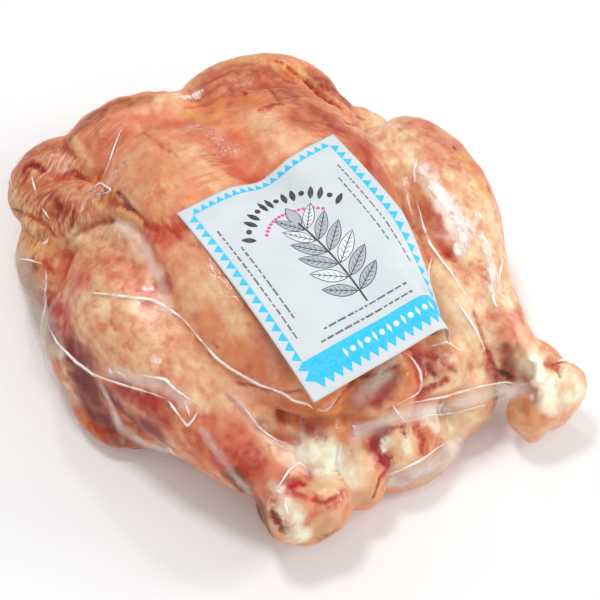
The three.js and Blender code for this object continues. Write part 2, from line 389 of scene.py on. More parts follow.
def read_mesh(thing):
    """Points in the bird's axes and quads of an object, with its modifiers done."""
    shape = thing.evaluated_get(bpy.context.evaluated_depsgraph_get()).to_mesh()
    points = np.empty(len(shape.vertices) * 3)
    shape.vertices.foreach_get("co", points)
    corners = np.empty(len(shape.loops), dtype=np.int32)
    shape.loops.foreach_get("vertex_index", corners)
    return points.reshape(-1, 3) / MM - SHIFT, corners.reshape(-1, 4)


def joined(parts):
    """Several closed surfaces as one list of points and one of faces."""
    counts = np.cumsum([0] + [len(points) for points, _ in parts])
    points = np.vstack([points for points, _ in parts])
    faces = [[i + start for i in face] for (_, part), start in zip(parts, counts) for face in part]
    return points, faces


def one_skin(forms, voxel):
    """The closed surface round all the forms, as points and quads, by voxel remesh."""
    block = mesh_object("block", *joined(forms))
    remesh = block.modifiers.new("skin", "REMESH")
    remesh.mode = "VOXEL"
    remesh.voxel_size = voxel * MM
    skin = read_mesh(block)
    bpy.data.objects.remove(block)
    return skin


def neighbours(quads):
    """Each edge once each way, as two arrays of vertex numbers."""
    pairs = np.vstack([quads[:, [0, 1]], quads[:, [1, 2]], quads[:, [2, 3]], quads[:, [3, 0]]])
    pairs = np.unique(np.sort(pairs, axis=1), axis=0)
    return np.concatenate([pairs[:, 0], pairs[:, 1]]), np.concatenate([pairs[:, 1], pairs[:, 0]])


def smoothed(points, links, rounds, amount=0.5):
    """Moves each point by a share of the way to the mean of its neighbours, again and again."""
    here, there = links
    many = np.bincount(here, minlength=len(points))[:, None]
    for _ in range(rounds):
        mean = np.column_stack([np.bincount(here, points[there, k], len(points)) for k in range(3)]) / many
        points = points + amount * (mean - points)
    return points


def normals_of(points, quads):
    """Vertex normals: the sum of the cross products of the diagonals of the quads round a point."""
    face = np.cross(points[quads[:, 2]] - points[quads[:, 0]], points[quads[:, 3]] - points[quads[:, 1]])
    total = np.zeros_like(points)
    for corner in range(4):
        for k in range(3):
            total[:, k] += np.bincount(quads[:, corner], face[:, k], len(points))
    return total / np.maximum(np.linalg.norm(total, axis=1, keepdims=True), 1e-9)


# %% [markdown]
# ## Noise for flesh
# Nothing on a bird is even. Gradient noise gives smooth random hills: each corner of a grid of cubes
# has a random slope, and the eight slopes round a point are blended. Summed at two or three sizes it
# makes swells, wrinkles and mottling, and the same seed always gives the same bird.

# %% Gradient noise


def hills(points, size, seed):
    """Smooth random hills about size millimetres across, from -1 to 1. A corner's slope comes from its
    whole-number place, whose bits are mixed with fixed odd numbers three times, once for each axis."""
    q = points / size + seed * 17.31
    cell = np.floor(q).astype(np.int64)
    f = q - cell
    blend = f**3 * (f * (f * 6 - 15) + 10)
    total = np.zeros(len(points))
    for corner in np.ndindex(2, 2, 2):
        at = cell + corner
        key = (at[:, 0] * 73856093) ^ (at[:, 1] * 19349663) ^ (at[:, 2] * 83492791) ^ (seed * 2654435761)
        slopes = []
        for k in range(3):
            mixed = (key * (k * 2 + 1) + 0x9E3779B9 * (k + 1)) & 0xFFFFFFFF
            mixed = ((mixed ^ (mixed >> 15)) * 0x2C1B3C6D) & 0xFFFFFFFF
            mixed = ((mixed ^ (mixed >> 12)) * 0x297A2D39) & 0xFFFFFFFF
            slopes.append(((mixed ^ (mixed >> 15)) & 0xFFFFFF) / 0x7FFFFF - 1)
        weight = np.prod(np.where(corner, blend, 1 - blend), axis=1)
        away = f - np.array(corner)
        total += weight * (slopes[0] * away[:, 0] + slopes[1] * away[:, 1] + slopes[2] * away[:, 2])
    return total


def layered(points, size, seed, layers=3):
    """Hills at halving sizes and halving heights, added up."""
    return sum(hills(points, size / 2**k, seed + k) / 2**k for k in range(layers))


# %% [markdown]
# ## Tints of raw chicken
# Raw skin is pale cream over pink flesh, so its colour changes with its thickness and with the fat and
# blood beneath it. A few named tints are enough. They are written as a painter would read them off a
# chart, from 0 to 255, and turned into the linear values that Blender mixes.

# %% Tints


def tint(red, green, blue):
    """Linear light from chart values: the power 2.4 curve of the screen standard, undone."""
    share = (np.array([red, green, blue]) / 255 + 0.055) / 1.055
    return share**2.4


DEEPEN = 1.08


def flesh(red, green, blue):
    """A tint for the skin, deepened by a power, because the film's shine lies over it like a white veil."""
    return tint(red, green, blue) ** DEEPEN


PEACH, ROSE, CREAM = flesh(228, 148, 104), flesh(210, 108, 80), flesh(239, 200, 160)
ORANGE, FAT, TAN = flesh(214, 124, 66), flesh(224, 158, 76), flesh(214, 164, 122)
# GLARE is not a tint of the skin but a painted highlight
BONE, GLARE, GREY = flesh(248, 242, 214), flesh(250, 232, 214), flesh(200, 180, 158)
RED, DEEP_RED, DARK = flesh(188, 58, 36), flesh(146, 30, 18), flesh(116, 22, 12)
SCARLET, CRIMSON, RUST = flesh(206, 74, 46), flesh(186, 30, 42), flesh(180, 56, 10)
PLUM, MAGENTA, MAUVE = flesh(156, 54, 38), flesh(190, 58, 80), flesh(194, 110, 84)
BROWN, BUFF = flesh(146, 74, 38), flesh(226, 168, 112)

# %% [markdown]
# ## Marks on the skin
# Each mark is a line in the camera's picture with a tint, a reach in millimetres, a strength and a
# depth. A crease has a positive depth, and a ridge or a lump has a negative one. The lists go over the
# bird part by part, so they read like a description of it. A wide mark is a soft wash. A narrow one is
# a stain, which the material draws finer than the mesh could and gives an uneven edge.

# %% Marks on the near wing and shoulder
WING_MARKS = [
    (MAUVE, 10, 0.5, 0, [(35, 150), (55, 160), (62, 150)]),
    (MAUVE, 9, 0.6, 0, [(30, 148), (55, 150)]),
    (DEEP_RED, 2.2, 1.0, 1.2, [(30, 163), (36, 165), (42, 169)]),
    (PLUM, 3.2, 0.6, 0.8, [(22, 172), (24, 166), (30, 163)]),
    (CREAM, 6, 0.3, -0.6, [(48, 158), (60, 162), (72, 166)]),
    (ROSE, 1.8, 0.7, 1.2, [(44, 170), (54, 176), (64, 176), (75, 172)]),
    (BROWN, 1.4, 0.6, 1.6, [(74, 174), (84, 178), (94, 182)]),
    (ROSE, 1.6, 0.5, 0.6, [(58, 180), (66, 175), (72, 172)]),
    (MAUVE, 15, 0.6, 0, [(28, 175), (45, 200), (70, 215), (105, 222)]),
    (PLUM, 6, 0.8, 0, [(48, 196), (60, 210), (74, 224)]),
    (DEEP_RED, 3, 0.4, 0.4, [(56, 205), (66, 212)]),
    (TAN, 5, 0.5, -0.5, [(60, 185), (75, 190), (90, 200)]),
    (RUST, 2.0, 0.4, 0.2, [(78, 187), (82, 190)]),
    (BUFF, 12, 0.85, 0, [(16, 205), (24, 225), (30, 245)]),
    (ORANGE, 9, 0.25, 0, [(34, 205), (44, 226), (54, 240)]),
    (CREAM, 4, 0.35, -0.5, [(16, 195), (22, 205), (30, 226), (44, 248)]),
    (RUST, 1.5, 0.6, 1.2, [(12, 211), (20, 212), (30, 216), (42, 224)]),
    (RUST, 1.2, 0.2, 1.2, [(36, 214), (46, 226), (56, 238)]),
    (RUST, 1.3, 0.15, 0.8, [(18, 228), (28, 234), (42, 242)]),
    (ROSE, 5, 0.4, 0, [(38, 240), (48, 246)]),
    (BROWN, 2, 0.2, 1.0, [(62, 236), (56, 250), (52, 262)]),
    (RUST, 2.4, 0.45, 0.8, [(46, 262), (50, 270)]),
    (BUFF, 4, 0.9, -0.5, [(52, 250), (60, 244)]),
    (FAT, 7, 0.9, 0, [(108, 198), (126, 214), (136, 222)]),
    (BUFF, 3.8, 0.9, -1.4, [(118, 212), (128, 217), (138, 222)]),
    (RUST, 5.2, 1.0, 0, [(112, 200), (122, 210)]),
    (RUST, 1.8, 0.9, 0.2, [(113, 200), (117, 205)]),
    (DARK, 0.9, 0.6, 2.0, [(116, 191), (124, 199), (130, 207), (137, 214)]),
    (DEEP_RED, 2.0, 0.9, 0.2, [(124, 204), (132, 211)]),
    (CREAM, 4, 0.5, -0.5, [(75, 140), (84, 155), (92, 168)]),
    (BROWN, 7, 0.55, 0, [(76, 132), (92, 118), (118, 104), (146, 98)]),
    (BROWN, 1.8, 0.3, 1.4, [(64, 140), (66, 148), (74, 157)]),
    (ROSE, 4.8, 0.25, 0.5, [(86, 158), (88, 142), (99, 127), (120, 119)]),
    (CREAM, 4.8, 0.25, -0.4, [(92, 160), (94, 145), (104, 132), (122, 124)]),
    (ROSE, 8, 0.4, 0, [(96, 150), (104, 140), (116, 128)]),
    (BUFF, 9, 0.6, 0, [(28, 222), (38, 238)]),
]

# %% Marks on the breast and the neck end
BREAST_MARKS = [
    (CREAM, 11, 0.5, 0, [(188, 150), (208, 165), (236, 196)]),
    (ROSE, 14, 0.5, 0.6, [(188, 124), (215, 140), (235, 158), (250, 176)]),
    (CREAM, 9, 0.55, 0, [(262, 120), (282, 132), (300, 140)]),
    (ROSE, 8, 0.5, 1.2, [(215, 152), (245, 178), (262, 184)]),
    (RED, 0.7, 0.5, 0.3, [(143, 133), (152, 138), (162, 147), (170, 152)]),
    (RED, 0.6, 0.35, 0.2, [(158, 140), (168, 147), (178, 158)]),
    (FAT, 4.4, 0.5, -0.4, [(184, 114), (198, 118), (212, 120), (220, 112), (220, 104)]),
    (CREAM, 8, 0.35, 0, [(165, 106), (185, 116)]),
    (RUST, 1.5, 1.0, 0.2, [(244, 93), (246, 95)]),
    (ORANGE, 3.5, 0.6, 0, [(244, 98), (252, 102), (262, 104)]),
    (RUST, 1.8, 0.8, 0.2, [(266, 106), (273, 104), (280, 103)]),
    (SCARLET, 3.2, 0.8, 0.1, [(262, 109), (268, 108)]),
    (CREAM, 6, 0.7, -0.8, [(162, 98), (176, 95)]),
    (MAUVE, 16, 0.8, 0, [(215, 82), (250, 72), (292, 92)]),
    (PLUM, 16, 0.12, 0, [(225, 84), (262, 76), (300, 96), (318, 108)]),
    (PLUM, 8, 0.1, 0, [(270, 80), (300, 100)]),
    (ROSE, 5, 0.15, 0, [(215, 108), (240, 92), (262, 82)]),
    (BUFF, 6, 0.7, -0.6, [(232, 60), (262, 58), (290, 68), (312, 78)]),
    (RUST, 1.4, 0.9, 0.2, [(276, 62), (282, 65)]),
    (RUST, 1.6, 0.8, 0.4, [(288, 68), (300, 76)]),
    (MAUVE, 4, 0.6, -0.4, [(206, 78), (225, 68), (250, 66)]),
    (PLUM, 0.9, 0.25, 0.7, [(206, 84), (232, 70), (262, 70), (296, 84)]),
    (MAUVE, 1.2, 0.3, 0.7, [(198, 100), (222, 84), (250, 80)]),
    (MAUVE, 1.2, 0.3, 0.6, [(186, 108), (206, 104), (232, 92)]),
    (PLUM, 0.9, 0.6, 0.6, [(268, 88), (276, 96), (284, 104)]),
    (DEEP_RED, 2.4, 0.6, 1.6, [(306, 80), (314, 87), (326, 97), (338, 108)]),
    (SCARLET, 3.4, 0.8, 0.6, [(318, 96), (328, 104), (338, 108)]),
    (PEACH, 4.8, 0.7, -1.0, [(334, 100), (344, 108), (354, 118)]),
    (PLUM, 9, 0.7, 0, [(318, 78), (332, 86), (344, 100)]),
    (DARK, 2.0, 0.3, 0.4, [(316, 78), (326, 79), (334, 82)]),
    (RED, 2.0, 0.7, 0.8, [(346, 122), (357, 127)]),
    (DARK, 1.0, 0.45, 0.8, [(356, 116), (364, 119)]),
    (MAUVE, 12, 0.8, 0, [(306, 116), (330, 124), (356, 140), (374, 168)]),
    (SCARLET, 8, 0.7, 1.0, [(132, 222), (150, 232), (170, 232), (180, 222)]),
    (RED, 2.2, 0.7, 0.8, [(138, 216), (146, 224), (156, 228)]),
    (RED, 0.8, 0.5, 0.6, [(164, 226), (172, 230), (181, 239)]),
    (SCARLET, 2.4, 0.5, 0.4, [(180, 238), (198, 246)]),
    (CREAM, 12, 0.3, 0, [(185, 270), (200, 290)]),
    (CREAM, 5, 0.7, 0, [(208, 288), (226, 304), (238, 330)]),
    (MAUVE, 6, 0.5, 0, [(262, 340), (282, 366)]),
    (RED, 5, 0.6, 0, [(374, 140), (364, 156), (368, 168)]),
    (TAN, 18, 0.35, 0, [(140, 156), (150, 176), (152, 200)]),
    (PLUM, 9, 0.45, 0, [(306, 104), (322, 112), (334, 124)]),
]

# %% Marks on the near leg
NEAR_LEG_MARKS = [
    (CREAM, 14, 0.5, 0, [(92, 238), (118, 236)]),
    (PEACH, 6, 0.1, 2.4, [(84, 232), (98, 223), (116, 220), (130, 226), (144, 246), (156, 270), (166, 288)]),
    (CREAM, 18, 0.35, 0, [(110, 330), (150, 345), (200, 375)]),
    (ROSE, 10, 0.3, 0, [(74, 280), (98, 262), (122, 256)]),
    (CREAM, 6, 0.6, -0.6, [(74, 240), (92, 231), (114, 228), (130, 238), (142, 255), (154, 275)]),
    (BROWN, 2.2, 0.4, 0.8, [(64, 246), (80, 232), (98, 223), (110, 220)]),
    (RED, 9, 0.75, 0, [(50, 306), (60, 322), (56, 332)]),
    (CREAM, 7, 0.5, 0, [(76, 302), (104, 306), (130, 312)]),
    # partly the dark red of the flesh and partly painted shade: the near leg's low side, turned from the
    # light, is washed dark red
    (DEEP_RED, 11, 1.0, 0.4, [(76, 352), (86, 380), (94, 408), (102, 424)]),
    (DEEP_RED, 7, 0.6, 0, [(74, 348), (92, 360)]),
    (DARK, 9, 0.45, 0, [(80, 384), (90, 404), (98, 420)]),
    (RED, 7, 0.7, 0.6, [(118, 385), (140, 396), (166, 404)]),
    (RED, 5, 0.7, 0, [(120, 392), (150, 408), (168, 420)]),
    (PLUM, 9, 0.9, 0, [(112, 400), (132, 418), (152, 430)]),
    (ORANGE, 5, 0.9, 0, [(78, 414), (92, 430), (112, 446), (130, 451), (156, 452)]),
    (BROWN, 6, 0.7, 0, [(112, 440), (140, 450)]),
    (RUST, 4, 0.6, 0, [(90, 424), (104, 434)]),
    (CREAM, 6, 0.5, 0, [(205, 400), (222, 404)]),
    (PLUM, 1.6, 0.12, 0.3, [(196, 338), (200, 342)]),
    (PLUM, 1.2, 0.35, 0.2, [(208, 351), (211, 355)]),
    (RED, 1.6, 0.5, 0.3, [(214, 343), (217, 347)]),
    (ROSE, 1.8, 0.4, 0.2, [(168, 336), (170, 341)]),
    (DEEP_RED, 0.7, 0.25, 1.2, [(238, 384), (252, 385), (266, 390), (284, 393), (300, 391)]),
    (SCARLET, 15, 0.6, 0, [(222, 440), (255, 462), (268, 480)]),
    (RED, 4.6, 0.6, 0, [(234, 452), (250, 474)]),
    (RED, 4.6, 0.5, 0, [(250, 444), (264, 466)]),
    (DEEP_RED, 3.5, 0.6, 0, [(244, 456), (256, 466)]),
    (BROWN, 5, 0.9, 1.6, [(262, 424), (278, 434), (298, 442)]),
    (CREAM, 9, 0.4, 0, [(236, 398), (262, 412), (288, 424)]),
    (MAUVE, 1.4, 0.6, 1.2, [(228, 394), (246, 412), (256, 426), (282, 440)]),
    (RED, 4, 0.6, 0, [(300, 420), (322, 438)]),
    (BROWN, 7, 0.9, 0.6, [(236, 478), (252, 502), (264, 522)]),
]

# %% Marks on the far leg
FAR_LEG_MARKS = [
    (CREAM, 12, 0.75, 0, [(382, 122), (392, 138), (404, 168)]),
    (ROSE, 12, 0.15, 0, [(415, 120), (440, 130), (462, 150)]),
    (MAUVE, 7, 0.3, 0, [(438, 134), (456, 148), (462, 154)]),
    (DEEP_RED, 1.4, 0.9, 0.4, [(454, 147), (456, 149)]),
    (ROSE, 9, 0.3, 0, [(440, 152), (466, 168), (474, 178)]),
    (CREAM, 15, 0.8, 0, [(455, 185), (480, 205), (496, 228)]),
    (DEEP_RED, 1.4, 0.9, 0.3, [(488, 188), (491, 193)]),
    (ROSE, 7, 0.25, 0, [(419, 180), (422, 196), (428, 212)]),
    (RED, 9, 0.6, 0.6, [(428, 218), (438, 234), (450, 250)]),
    (RED, 6, 0.9, 0.3, [(450, 258), (460, 268), (458, 282)]),
    (RED, 3.5, 0.4, 0, [(482, 262), (486, 280)]),
    # painted highlight: two white streaks of the film's glare over the far thigh, drawn into the skin's
    # colour
    (GLARE, 5, 0.6, 0, [(425, 172), (432, 188), (446, 208), (458, 232), (464, 252)]),
    (GLARE, 5, 0.5, 0, [(470, 236), (488, 250), (494, 280), (490, 296)]),
    (CREAM, 12, 0.5, 0, [(482, 225), (494, 245)]),
    (TAN, 9, 0.6, 0, [(400, 180), (412, 205), (418, 240)]),
    (ROSE, 2, 0.5, 0.8, [(419, 232), (425, 252), (432, 262)]),
    (CREAM, 10, 0.8, 0, [(440, 275), (456, 300), (470, 330)]),
    (ROSE, 10, 0.5, 0, [(486, 300), (502, 318), (508, 336)]),
    # partly dark flesh and partly painted shade: the plum and near-black of the hollow beside the far hock
    (PLUM, 6, 0.6, 2.0, [(504, 352), (507, 366), (508, 378)]),
    (DARK, 2.4, 1.0, 1.6, [(500, 374), (507, 380)]),
    (SCARLET, 1.1, 0.5, 1.4, [(474, 312), (482, 334), (488, 352)]),
    (RED, 1.1, 0.8, 1.6, [(488, 352), (492, 364), (498, 380)]),
    (SCARLET, 4, 0.5, 0, [(484, 348), (492, 372)]),
    # painted shade: brown on the far drumstick's side beside the hock
    (BROWN, 7, 0.6, 0, [(514, 356), (512, 380), (518, 404)]),
    (CREAM, 12, 0.9, 0, [(444, 286), (462, 314), (478, 340)]),
    (CREAM, 8, 0.7, 0, [(470, 250), (476, 276), (484, 300)]),
    (BONE, 7, 0.3, 0, [(462, 308), (474, 330)]),
    (BUFF, 7, 0.6, 0, [(466, 158), (480, 178), (490, 204)]),
    (CREAM, 12, 0.8, 0, [(494, 222), (500, 246), (505, 268), (508, 286)]),
]

# %% Marks on the tail end
TAIL_MARKS = [
    (SCARLET, 7, 0.95, 2.2, [(418, 352), (427, 368), (428, 382), (423, 394)]),
    (ROSE, 6, 0.7, 1.0, [(432, 352), (444, 366), (438, 384), (430, 396)]),
    (CREAM, 9, 0.5, 0, [(436, 334), (456, 352), (470, 364)]),
    (CREAM, 8, 0.7, 0, [(436, 328), (460, 334), (480, 352)]),
    (RED, 1.2, 0.6, 1.4, [(404, 346), (420, 350), (440, 358), (456, 372)]),
    (ROSE, 1.2, 0.5, 1.0, [(416, 344), (436, 354), (454, 364)]),
    (DEEP_RED, 1.2, 0.7, 1.0, [(412, 348), (428, 362), (438, 378)]),
    (CREAM, 7, 0.9, -1.0, [(436, 388), (456, 380), (480, 378)]),
    (RED, 2.2, 0.9, 1.0, [(422, 398), (434, 388), (446, 380)]),
    (ORANGE, 8, 0.7, -1.2, [(398, 356), (406, 370), (402, 384)]),
    (SCARLET, 3.0, 0.7, 0.5, [(402, 350), (414, 362), (420, 380)]),
    (RED, 5, 0.85, 0.8, [(376, 402), (382, 392), (390, 384)]),
    (CRIMSON, 3, 0.5, 0.4, [(376, 404), (382, 396), (392, 398)]),
    (PLUM, 5, 0.5, 0, [(382, 386), (388, 376), (394, 368)]),
    (MAUVE, 7, 0.65, 1.4, [(356, 404), (368, 388), (384, 376)]),
    (GREY, 4, 0.6, -0.6, [(366, 388), (376, 378), (392, 362)]),
    (PLUM, 1.4, 0.7, 1.0, [(362, 376), (380, 374), (396, 366)]),
    (ORANGE, 10, 0.85, 0, [(316, 404), (334, 398), (350, 390)]),
    (RUST, 2.0, 0.5, 0.6, [(336, 402), (344, 392), (352, 380)]),
    (BROWN, 5, 0.8, 1.4, [(306, 430), (320, 422), (344, 420)]),
    (ORANGE, 5, 0.9, -0.8, [(320, 430), (334, 426), (346, 424)]),
    (FAT, 2.4, 0.4, -0.3, [(328, 430), (342, 426)]),
    (FAT, 4, 0.5, 0, [(330, 412), (346, 408)]),
    (CREAM, 10, 0.85, -1.2, [(390, 434), (404, 444), (398, 458)]),
    (BONE, 3, 0.7, -0.5, [(384, 446), (386, 440)]),
    (BONE, 3, 0.7, -0.5, [(406, 442), (408, 452)]),
    (BUFF, 3, 0.6, 0, [(392, 452), (402, 458)]),
    (CRIMSON, 4.4, 1.0, 1.2, [(384, 430), (376, 436), (372, 446), (378, 456), (386, 460)]),
    (CRIMSON, 1.2, 0.6, 0.8, [(384, 431), (394, 427), (404, 426)]),
    (CRIMSON, 2.0, 0.7, 0.8, [(384, 462), (389, 466), (385, 474), (380, 480)]),
    (DEEP_RED, 0.8, 0.7, 0.8, [(384, 474), (378, 486), (374, 498)]),
    (DARK, 1.6, 0.7, 1.0, [(374, 440), (376, 448)]),
    (RED, 3.4, 0.8, 0.8, [(416, 428), (424, 438), (424, 452)]),
    (ROSE, 4.5, 0.5, 0, [(424, 430), (440, 442)]),
    (DARK, 0.9, 0.9, 0.6, [(402, 431), (405, 434)]),
    (TAN, 9, 0.7, 0, [(348, 452), (350, 478), (362, 496)]),
    (CREAM, 5, 0.8, 0, [(356, 456), (366, 470), (362, 484)]),
    (ORANGE, 3, 0.4, 0, [(344, 442), (352, 452)]),
    (BONE, 7, 0.7, 0, [(432, 418), (446, 430), (452, 440)]),
    (CREAM, 10, 0.8, 0, [(450, 410), (480, 402), (506, 398)]),
    (CREAM, 8, 0.8, 0, [(454, 432), (472, 416), (490, 404)]),
    (GREY, 9, 0.7, 0, [(396, 482), (420, 476), (440, 462)]),
    (MAUVE, 3, 0.6, 0, [(400, 474), (412, 480), (420, 476)]),
]

# %% Marks on the two hocks
HOCK_MARKS = [
    (BONE, 12, 1.0, -1.8, [(310, 454), (322, 460), (332, 470)]),
    (TAN, 9, 0.7, 0, [(278, 496), (288, 518), (300, 534), (322, 526)]),
    (TAN, 9, 0.6, 0, [(268, 442), (286, 460), (294, 474)]),
    (BUFF, 7, 0.7, 0, [(268, 532), (284, 544), (300, 545), (322, 540), (342, 526)]),
    (CREAM, 8, 0.2, 0, [(310, 512), (326, 520), (336, 508)]),
    (BONE, 6.5, 0.7, 0, [(276, 498), (286, 510), (292, 524), (300, 536)]),
    (CREAM, 4, 0.5, 0, [(318, 486), (334, 488)]),
    (CRIMSON, 3.2, 0.8, 0.6, [(292, 486), (298, 482), (303, 484)]),
    (MAGENTA, 2.6, 0.6, 0.4, [(288, 492), (296, 494), (304, 496)]),
    (MAGENTA, 6, 0.35, 0, [(288, 480), (304, 494)]),
    (CREAM, 7, 0.7, 0, [(310, 486), (326, 490), (338, 486)]),
    (ROSE, 4, 0.6, 0, [(268, 496), (274, 502)]),
    (RED, 1.4, 0.9, 1.4, [(314, 500), (324, 503), (334, 499), (343, 494)]),
    (ROSE, 4, 0.6, 0, [(312, 496), (330, 508), (344, 492)]),
    (ROSE, 3.4, 0.6, 0.2, [(306, 524), (312, 514), (320, 508)]),
    # painted shade: a grey patch where shade falls on the near hock
    (GREY, 4, 0.4, 0, [(300, 508), (306, 516)]),
    (MAUVE, 3, 0.4, 0, [(338, 476), (343, 484)]),
    (DEEP_RED, 3.0, 1.0, 0.8, [(272, 514), (278, 522), (284, 530)]),
    (BUFF, 2.6, 0.5, 0.2, [(284, 520), (292, 524)]),
    (BROWN, 5, 1.0, 0, [(262, 512), (268, 530)]),
    (BROWN, 4, 0.6, 0, [(322, 538), (334, 532)]),
    (CREAM, 16, 0.8, 0, [(545, 372), (562, 380), (572, 392)]),
    (BONE, 7, 0.9, -0.6, [(534, 366), (542, 384), (546, 402)]),
    (ROSE, 3, 0.7, 0.5, [(548, 364), (556, 368)]),
    (RED, 0.8, 0.6, 0.8, [(546, 364), (554, 364), (566, 360)]),
    (RED, 0.8, 0.5, 0.6, [(554, 366), (560, 376)]),
    (BONE, 4, 0.6, 0.5, [(566, 366), (562, 378)]),
    (BONE, 6, 0.5, 0, [(556, 404), (570, 398), (580, 388)]),
    (BUFF, 8, 0.7, 0, [(514, 396), (526, 414), (534, 426)]),
    # painted shade: brown on the far hock's side next to the drumstick
    (BROWN, 7, 0.6, 0, [(524, 368), (520, 384), (530, 398)]),
    (PLUM, 4, 0.5, 0.6, [(526, 380), (534, 392)]),
    (ORANGE, 3, 0.5, 0, [(524, 400), (528, 412)]),
]
SKIN_MARKS = WING_MARKS + BREAST_MARKS + NEAR_LEG_MARKS + FAR_LEG_MARKS + TAIL_MARKS + HOCK_MARKS
print(len(SKIN_MARKS), "marks")

# %% [markdown]
# ## Skin in ribs and wrinkles
# Over the wing's forearm and beside the keel the skin lies in many small parallel folds. They run
# across a line, so a wave along that line gives them. Their troughs get painted shade and their ridges
# painted light.

# %% Ribs
# painted shade tint of the troughs, reach, mean spacing and depth in millimetres, line across the folds
SKIN_RIBS = [
    (PLUM, 20, 3.4, 0.45, [(20, 166), (34, 190), (56, 206), (86, 212), (112, 216)]),
    (MAUVE, 15, 3.2, 0.34, [(30, 150), (56, 166), (84, 182), (100, 190)]),
    (BROWN, 13, 4.6, 0.4, [(12, 190), (20, 212), (32, 240), (40, 256)]),
    (TAN, 15, 3.8, 0.22, [(204, 146), (212, 166), (220, 186), (226, 204)]),
    (MAUVE, 20, 3.8, 0.12, [(226, 112), (236, 94), (246, 76), (254, 60)]),
    (MAUVE, 20, 3.8, 0.14, [(282, 122), (286, 104), (292, 86), (300, 74)]),
    (ROSE, 16, 3.6, 0.16, [(330, 146), (336, 128), (344, 108)]),
    (RED, 13, 3.0, 0.2, [(146, 238), (166, 226), (182, 214)]),
    (ROSE, 12, 3.4, 0.2, [(98, 116), (108, 132), (118, 148)]),
]

# %% Height of the label over the plan
RISE_OUTSIDE = 0.45


def label_limit(points, clearance):
    """The height that flesh or film may reach near the label. Inside the sheet's outline it is the
    sheet's height less the clearance, and it rises by under half a millimetre for each one outside."""
    plan = points[:, :2] - LABEL_CORNER
    a, v = plan @ LABEL_ACROSS, plan @ LABEL_DOWN
    inside_v = np.clip(v, 0, LABEL_LENGTH)
    share = np.clip((inside_v - BEND_START) / (LABEL_LENGTH - BEND_START), 0, 1)
    angle = np.maximum(BEND_ANGLE * share, 1e-6)
    start = BEND_AT_NECK + (BEND_AT_TAIL - BEND_AT_NECK) * inside_v / LABEL_LENGTH
    turned = np.arcsin(np.clip((a - start) / BEND_RADIUS, 0, np.sin(angle)))
    straight = np.maximum(0, (a - start - BEND_RADIUS * np.sin(angle)) / np.cos(angle))
    u = np.where(a < start, a, start + BEND_RADIUS * turned + straight)
    inside_u = np.clip(u, 0, LABEL_WIDTH)
    edge_point = label_point(inside_u, inside_v)
    outside = np.linalg.norm(points[:, :2] - edge_point[:, :2], axis=1)
    return edge_point[:, 2] - clearance + RISE_OUTSIDE * outside


def pressed(points, off_label, off_table):
    """Points kept under the label and over the table, each by its own clearance."""
    limit = np.maximum(label_limit(points, off_label), off_table)
    return np.column_stack([points[:, :2], np.clip(points[:, 2], off_table, limit)])


# %% [markdown]
# ## The skin
# The forms are joined, and then every mark is laid on. A mark's edge is frayed by noise, because
# nothing on a bird has a clean outline. Its depth goes into the mesh, and its tint into a colour for
# each point. The skin is pressed flat under the label and on the table.

# %% Join the forms
SKIN_GROW, SKIN_UNDER_FILM = -0.6, 0.9
skin_points, skin_quads = one_skin(surfaces(BIRD + UNDER_WEBS, SKIN_GROW, slack_share=1.0), SKIN_VOXEL)
skin_links = neighbours(skin_quads)
skin_points = smoothed(skin_points, skin_links, SKIN_ROUNDS)
smooth_skin = BVHTree.FromPolygons(skin_points.tolist(), skin_quads.tolist())
print("skin:", len(skin_quads), "quads")

# %% Colour of the bare skin


def eased(x, low, high):
    """0 below low, 1 above high, and an even S-curve between them."""
    share = np.clip((x - low) / (high - low), 0, 1)
    return share * share * (3 - 2 * share)


def washed(colours, share, paint):
    """Colours moved towards a paint by a share for each point."""
    return colours + share[:, None] * (paint - colours)


fine, middling = layered(skin_points, 7, 21), layered(skin_points, 16, 31)
broad = layered(skin_points, 45, 41)
skin_colours = np.tile(PEACH, (len(skin_points), 1))
for share, height, low, high, paint in (
    (0.36, middling, -0.05, 0.55, CREAM),
    (0.55, -broad, 0.0, 0.5, ROSE),
    (0.34, fine, 0.1, 0.5, CREAM),
    (0.5, -fine, 0.15, 0.55, ROSE),
):
    skin_colours = washed(skin_colours, share * eased(height, low, high), paint)

# %% [markdown]
# The legs are more mottled than the breast: pink flesh shows in small rings and spots through their
# cream skin.

# %% Mottling on the legs


def leg_share(points):
    """How much a point belongs to a leg: 1 far from the middle plane and 0 over the breast."""
    return eased(np.abs(points[:, 0] - KEEL_X), 44, 62) * eased(-points[:, 1], -96, -60)


rings = eased(np.abs(layered(skin_points, 9, 55)), 0.22, 0.03)
specks = eased(hills(skin_points, 4.5, 57), 0.36, 0.5) * eased(hills(skin_points, 26, 58), -0.1, 0.3)
on_leg = leg_share(skin_points)
on_knee = on_leg * eased(-skin_points[:, 1], -69, -61) * eased(skin_points[:, 2], 44, 54)
skin_colours = washed(skin_colours, 0.45 * on_leg * eased(middling, -0.5, 0.3), CREAM)
skin_colours = washed(skin_colours, 0.6 * on_leg * rings * eased(-middling, -0.5, 0.2), ROSE)
skin_colours = washed(skin_colours, 0.4 * on_leg * specks, RED)

